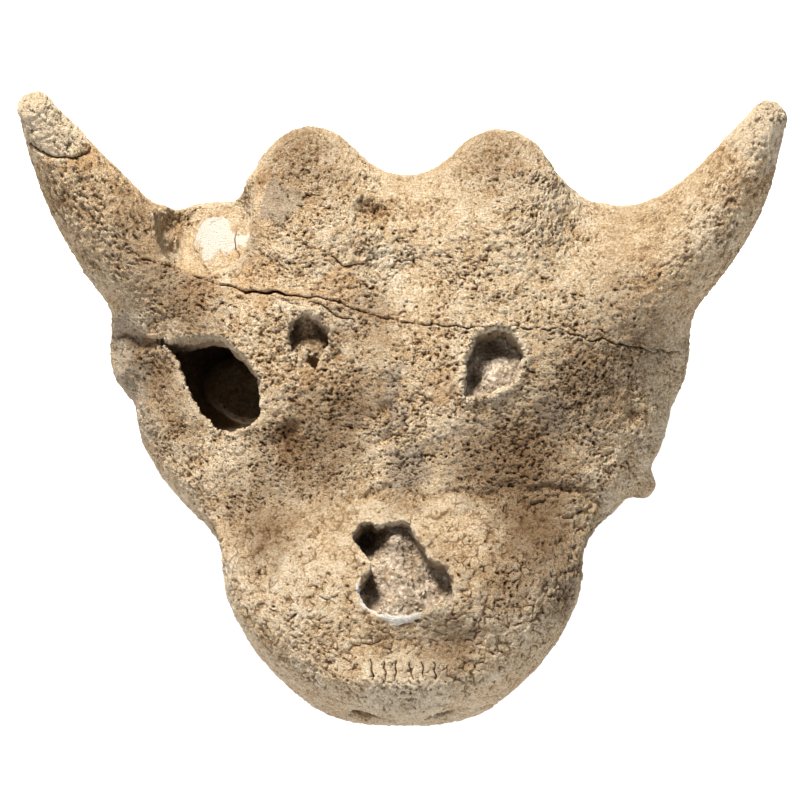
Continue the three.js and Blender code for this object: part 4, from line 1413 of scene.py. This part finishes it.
def left_of(x):
    return [x, 0, 0], [1, 0, 0]


def right_of(x):
    return [x, 0, 0], [-1, 0, 0]


def over(z):
    return [0, 0, z], [0, 0, 1]


def under(z):
    return [0, 0, z], [0, 0, -1]


def behind_crack(low):
    """A closed block of all behind the roof's crack, from a height up."""
    line = [[-REACH, FRACTURE[0][1]], *[[x, y] for x, y, _ in FRACTURE], [REACH, FRACTURE[-1][1]]]
    outline = [*line, [REACH, REACH], [-REACH, REACH]]
    count = len(outline)
    corners = [[x, y, z] for z in (low, REACH) for x, y in outline]
    sides = [[k, (k + 1) % count, (k + 1) % count + count, k + count] for k in range(count)]
    mesh = bpy.data.meshes.new("block")
    mesh.from_pydata(to_frame(corners).tolist(), [], [list(range(count))[::-1], list(range(count, 2 * count)), *sides])
    return mesh


TIP_PLANE = (TIP_CRACK["at"], TIP_CRACK["along"])
HORN_ROOT_RIGHT = ([-86, 56, 71], [-0.65, 0.5, 0.57])
HORN_ROOT_LEFT = ([86, 54, 72], [0.66, 0.47, 0.58])
SNOUT_ROOT = ([0, -26, 66], [0, -1, -0.12])
KNOB_ROOT = ([0, 64, 87], [0, 0.9, 0.44])
CUTS = [
    # the piece's name, the solid that it stands for, and the block that takes it off
    ("right_horn_tip", "horn_tip_right", lambda: beyond(TIP_PLANE, right_of(-80))),
    ("right_horn", "horn_right", lambda: beyond(HORN_ROOT_RIGHT, right_of(-62))),
    ("left_horn", "horn_left", lambda: beyond(HORN_ROOT_LEFT, left_of(62))),
    ("snout_roof", "snout", lambda: beyond(SNOUT_ROOT, over(44))),
    ("beak_and_palate", "snout", lambda: beyond(SNOUT_ROOT)),
    ("right_knob", "knob_right", lambda: beyond(KNOB_ROOT, over(72), right_of(0))),
    ("left_knob", "knob_left", lambda: beyond(KNOB_ROOT, over(72), left_of(0))),
    ("rear_roof", "crown", lambda: behind_crack(72)),
    ("right_quadrate", "quadrate_right", lambda: beyond(under(12), right_of(-40))),
    ("left_quadrate", "quadrate_left", lambda: beyond(under(12), left_of(40))),
    ("right_temple", "temple_right", lambda: beyond(right_of(-34))),
    ("left_temple", "temple_left", lambda: beyond(left_of(34))),
]


def boolean(mesh, block, operation):
    body = bpy.data.objects.new("body", mesh)
    cutter = bpy.data.objects.new("cutter", block)
    bpy.context.scene.collection.objects.link(body)
    bpy.context.scene.collection.objects.link(cutter)
    modifier = body.modifiers.new("saw", "BOOLEAN")
    modifier.solver, modifier.operation, modifier.object = "MANIFOLD", operation, cutter
    settled = body.evaluated_get(bpy.context.evaluated_depsgraph_get())
    made = bpy.data.meshes.new_from_object(settled)
    bpy.data.objects.remove(body)
    bpy.data.objects.remove(cutter)
    return made


# %% [markdown]
# ### Values on the cuts
# A tree of the whole skull's points finds, for each point that the Boolean added, its two neighbours on the
# edge that was cut. The nearer one counts for more, which is just how a value runs along an edge.

# %% Neighbours
skull_places = places_of(skull)
skull_normals = np.empty(len(skull_places) * 3, np.float32)
skull.vertex_normals.foreach_get("vector", skull_normals)
skull_normals = skull_normals.reshape(-1, 3)
write_values(skull, facing=skull_normals)
CARRIED = [
    "rest", "horn_place", "facing", "horn", "snout", "inner", "rust", "grey", "pale", "fresh", "sponge", "stain",
    "crack", "crack_far", "relief",
]
whole_values = {name: read_values(skull, name) for name in CARRIED}
neighbours = KDTree(len(skull_places))
for index, place in enumerate(skull_places.tolist()):
    neighbours.insert(place, index)
neighbours.balance()


def heal(mesh):
    """Gives the points on a cut their values, and every corner its normal."""
    added = np.flatnonzero(read_values(mesh, "mark") < 0.5)
    places = places_of(mesh)
    if len(added):
        found = [neighbours.find_n(place, 2) for place in places[added].tolist()]
        ends = np.array([[one[1], two[1]] for one, two in found])
        far = np.array([[one[2], two[2]] for one, two in found]) + 1e-9
        weight = (1 / far) / (1 / far).sum(1, keepdims=True)
        for name, values in whole_values.items():
            own = read_values(mesh, name)
            shares = weight if own.ndim == 1 else weight[:, :, None]
            own[added] = (values[ends] * shares).sum(1)
            kind = "vector" if own.ndim == 2 else "value"
            mesh.attributes[name].data.foreach_set(kind, own.ravel())
    facing = read_values(mesh, "facing")
    corner_points = np.empty(len(mesh.loops), np.int32)
    mesh.loops.foreach_get("vertex_index", corner_points)
    starts = np.empty(len(mesh.polygons), np.int32)
    mesh.polygons.foreach_get("loop_start", starts)
    sizes = np.diff(np.append(starts, len(corner_points)))
    is_added = np.zeros(len(places), bool)
    is_added[added] = True
    on_cut = np.minimum.reduceat(is_added[corner_points].astype(np.int8), starts).astype(bool)
    flat = np.empty(len(starts) * 3, np.float32)
    mesh.polygon_normals.foreach_get("vector", flat)
    flat = flat.reshape(-1, 3)
    normals = facing[corner_points]
    turned_away = np.repeat((facing[corner_points[starts]] * flat).sum(1) < 0.3, sizes)
    cut_corner = np.repeat(on_cut, sizes) & turned_away
    normals[cut_corner] = np.repeat(flat, sizes, 0)[cut_corner]
    mesh.normals_split_custom_set(normals)
    for name in ("mark", "facing", "carve"):
        mesh.attributes.remove(mesh.attributes[name])


def finish_piece(mesh, name, node):
    """Puts a mesh in the scene as a piece that takes the place of a solid."""
    mesh.name = name
    piece = bpy.data.objects.new(name, mesh)
    bpy.context.scene.collection.objects.link(piece)
    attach(piece, "root")
    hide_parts(node)
    print(name, "has", len(mesh.polygons), "faces")


# %% Saw
rest_of_skull = skull
for name, node, block_of in CUTS:
    block = block_of()
    piece_mesh = boolean(rest_of_skull, block, "INTERSECT")
    rest_of_skull = boolean(rest_of_skull, block, "DIFFERENCE")
    heal(piece_mesh)
    finish_piece(piece_mesh, name, node)
heal(rest_of_skull)
finish_piece(rest_of_skull, "brain_box", "braincase")

# %% [markdown]
# ## The sand in the holes
# Lime sand set hard in the broken snout and in the left roof pit. Each filling reaches a little into the wall
# of its hole, and its top is uneven, with a dark hollow where it fell out. Its own tree roughens it and strews
# it with grains of a millimetre, each a low-poly pebble with its own turn and size.

# %% Fillings
def filling(corners, low, top, mounds):
    """Hard sand within an outline, up to a height that mounds and hollows change."""
    loop = closed_loop(corners, 4)

    def depth(points):
        walls = plan_depth(ragged(points), loop) - 0.9
        top_depth = mounded(points, top, mounds) - points[:, 2]
        return -soft_join(-np.maximum(walls, low - points[:, 2]), top_depth, 1.5)

    return depth, [*loop.min(0) - 3, low - 2], [*loop.max(0) + 3, top + 6]


SNOUT_FILL = filling(SNOUT_HOLE, 51.0, 61.0, [
    # x, y, radius, rise
    [-13.0, -38.5, 5.5, -11.0], [-3.5, -40.5, 5.0, 3.5], [3.0, -46.0, 3.5, -1.6], [-2.0, -52.0, 7.0, 2.0],
    [10.5, -53.0, 4.5, -2.6], [-12.5, -56.5, 3.5, -4.0], [-9.5, -47.0, 3.0, -2.0], [3.0, -60.0, 6.0, 1.6],
    [-4.0, -64.0, 4.0, 2.0], [12.0, -60.0, 3.0, -1.5],
])
ROOF_FILL = filling(LEFT_PIT, 71.0, 76.5, [
    [24.0, 14.0, 3.2, -4.5], [31.0, 25.5, 4.2, -4.0], [33.0, 17.0, 5.5, 2.0], [36.0, 12.5, 4.5, 1.2],
    [26.0, 8.5, 3.0, -2.0],
])

GRIT = {"Grit height": 0.55, "Grit size": 1.5, "Clod height": 0.6, "Clod size": 4.0, "Grains": 0.16,
        "Grain size": 0.5}
gritty = bpy.data.node_groups.new("gritty_sand", "GeometryNodeTree")
gritty.interface.new_socket("Geometry", in_out="INPUT", socket_type="NodeSocketGeometry")
for label, value in GRIT.items():
    gritty.interface.new_socket(label, in_out="INPUT", socket_type="NodeSocketFloat").default_value = value
gritty.interface.new_socket("Seed", in_out="INPUT", socket_type="NodeSocketInt").default_value = 1
gritty.interface.new_socket("Material", in_out="INPUT", socket_type="NodeSocketMaterial")
gritty.interface.new_socket("Geometry", in_out="OUTPUT", socket_type="NodeSocketGeometry")
sheet = Sheet(gritty)
given = sheet.node("NodeGroupInput").outputs
rest = sheet.point_value("rest", True)
grit_distance, grit_chance = sheet.cells(rest, given["Grit size"])
knobbly = sheet.times(sheet.fade(grit_distance, 0.0, 1.1), given["Grit height"], grit_chance, 1.6)
cloddy = sheet.times(sheet.noise(rest, 4.0, 3.0, 0.6), given["Clod height"], 1.8)
raised = sheet.total(knobbly, cloddy)
outward = sheet.node("ShaderNodeVectorMath", operation="SCALE")
sheet.feed(outward.inputs[0], sheet.node("GeometryNodeInputNormal").outputs[0])
sheet.feed(outward.inputs["Scale"], sheet.math("MULTIPLY", raised, MM))
move = sheet.node("GeometryNodeSetPosition")
sheet.feed(move.inputs["Geometry"], given["Geometry"])
sheet.feed(move.inputs["Offset"], outward.outputs[0])
normal_parts = sheet.node("ShaderNodeSeparateXYZ")
sheet.feed(normal_parts.inputs[0], sheet.node("GeometryNodeInputNormal").outputs[0])
strew = sheet.node("GeometryNodeDistributePointsOnFaces", distribute_method="RANDOM")
sheet.feed(strew.inputs["Mesh"], move.outputs["Geometry"])
sheet.feed(strew.inputs["Selection"], sheet.math("GREATER_THAN", normal_parts.outputs["Z"], 0.45))
sheet.feed(strew.inputs["Density"], sheet.math("DIVIDE", given["Grains"], MM * MM))
sheet.feed(strew.inputs["Seed"], given["Seed"])
grain = sheet.node("GeometryNodeMeshIcoSphere")
grain.inputs["Subdivisions"].default_value = 2
sheet.feed(grain.inputs["Radius"], sheet.math("MULTIPLY", given["Grain size"], MM))
chance_size = sheet.node("FunctionNodeRandomValue", data_type="FLOAT_VECTOR")
chance_size.inputs[0].default_value = (0.45, 0.45, 0.4)
chance_size.inputs[1].default_value = (1.5, 1.2, 0.9)
sheet.feed(chance_size.inputs["Seed"], given["Seed"])
place_grain = sheet.node("GeometryNodeInstanceOnPoints")
sheet.feed(place_grain.inputs["Points"], strew.outputs["Points"])
sheet.feed(place_grain.inputs["Instance"], grain.outputs["Mesh"])
sheet.feed(place_grain.inputs["Rotation"], strew.outputs["Rotation"])
sheet.feed(place_grain.inputs["Scale"], chance_size.outputs[0])
grains_real = sheet.node("GeometryNodeRealizeInstances")
sheet.feed(grains_real.inputs["Geometry"], place_grain.outputs["Instances"])
position_mm = sheet.node("ShaderNodeVectorMath", operation="SCALE")
sheet.feed(position_mm.inputs[0], sheet.node("GeometryNodeInputPosition").outputs[0])
position_mm.inputs["Scale"].default_value = 1 / MM
keep = sheet.node("GeometryNodeStoreNamedAttribute", data_type="FLOAT_VECTOR", domain="POINT")
keep.inputs["Name"].default_value = "rest"
sheet.feed(keep.inputs["Geometry"], grains_real.outputs["Geometry"])
sheet.feed(next(s for s in keep.inputs if s.enabled and s.name == "Value"), position_mm.outputs[0])
both = sheet.node("GeometryNodeJoinGeometry")
sheet.feed(both.inputs[0], move.outputs["Geometry"])
sheet.feed(both.inputs[0], keep.outputs["Geometry"])
real = sheet.node("GeometryNodeRealizeInstances")
sheet.feed(real.inputs["Geometry"], both.outputs["Geometry"])
dress = sheet.node("GeometryNodeSetMaterial")
sheet.feed(dress.inputs["Geometry"], real.outputs["Geometry"])
sheet.feed(dress.inputs["Material"], given["Material"])
sheet.feed(sheet.node("NodeGroupOutput").inputs["Geometry"], dress.outputs["Geometry"])


def sand_material(name):
    material, tree, shader = shader_material(name)
    sheet = Sheet(tree)
    rest = sheet.point_value("rest", True)
    broad = sheet.noise(rest, 7.0, 3.0, 0.6)
    mottle = sheet.noise(rest, 1.6, 3.0, 0.65)
    _, chance = sheet.cells(rest, 0.9)
    scatter = sheet.math("MULTIPLY_ADD", chance, 0.5, -0.25)
    tone = sheet.total(0.45, sheet.times(broad, 0.7), sheet.times(mottle, 0.9), scatter)
    lower = sheet.math("MULTIPLY", tone, 2.0, clamp=True)
    upper = sheet.math("MULTIPLY_ADD", tone, 2.0, -1.0, clamp=True)
    colour = sheet.tint(upper, sheet.tint(lower, (0.13, 0.09, 0.057), (0.27, 0.212, 0.152)), (0.47, 0.41, 0.34))
    colour = sheet.tint(sheet.times(sheet.fade(sheet.noise(rest, 5.0, 2.0), 0.55, 0.1), 0.5), colour, (0.42, 0.27, 0.14))
    sheet.feed(shader.inputs["Base Color"], colour)
    shader.inputs["Roughness"].default_value = 0.93
    shader.inputs["Specular IOR Level"].default_value = 0.25
    bump = sheet.node("ShaderNodeBump")
    bump.inputs["Strength"].default_value = 0.9
    bump.inputs["Distance"].default_value = MM
    sheet.feed(bump.inputs["Height"], sheet.times(sheet.noise(rest, 0.5, 3.0, 0.6), 0.2))
    sheet.feed(shader.inputs["Normal"], bump.outputs["Normal"])
    return material


# %% Fill the holes
sand = sand_material("lime_sand")
SAND = (
    ("snout_sand", "sediment_snout", SNOUT_FILL, 3),
    ("roof_sand", "sediment_roof", ROOF_FILL, 8),
)
for name, node, (depth_of, low, high), seed in SAND:
    sand_points, sand_quads = surface_quads(depth_of, low, high, 0.42)
    sand_mesh = mesh_from(name, sand_points, [sand_quads])
    write_values(sand_mesh, rest=sand_points)
    sand_mesh = run_tree(sand_mesh, gritty, Seed=seed, Material=sand, **GRIT)
    finish_piece(sand_mesh, name, node)

# %% [markdown]
# ## The size of it all
# The frame's own size and the finished model's are kept side by side, so they can be compared.

# %% Sizes
made_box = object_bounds()
for label, (low, high) in (("solids", solid_box), ("made", made_box)):
    print(label, [round((b - a) / MM, 1) for a, b in zip(low, high)], "mm")
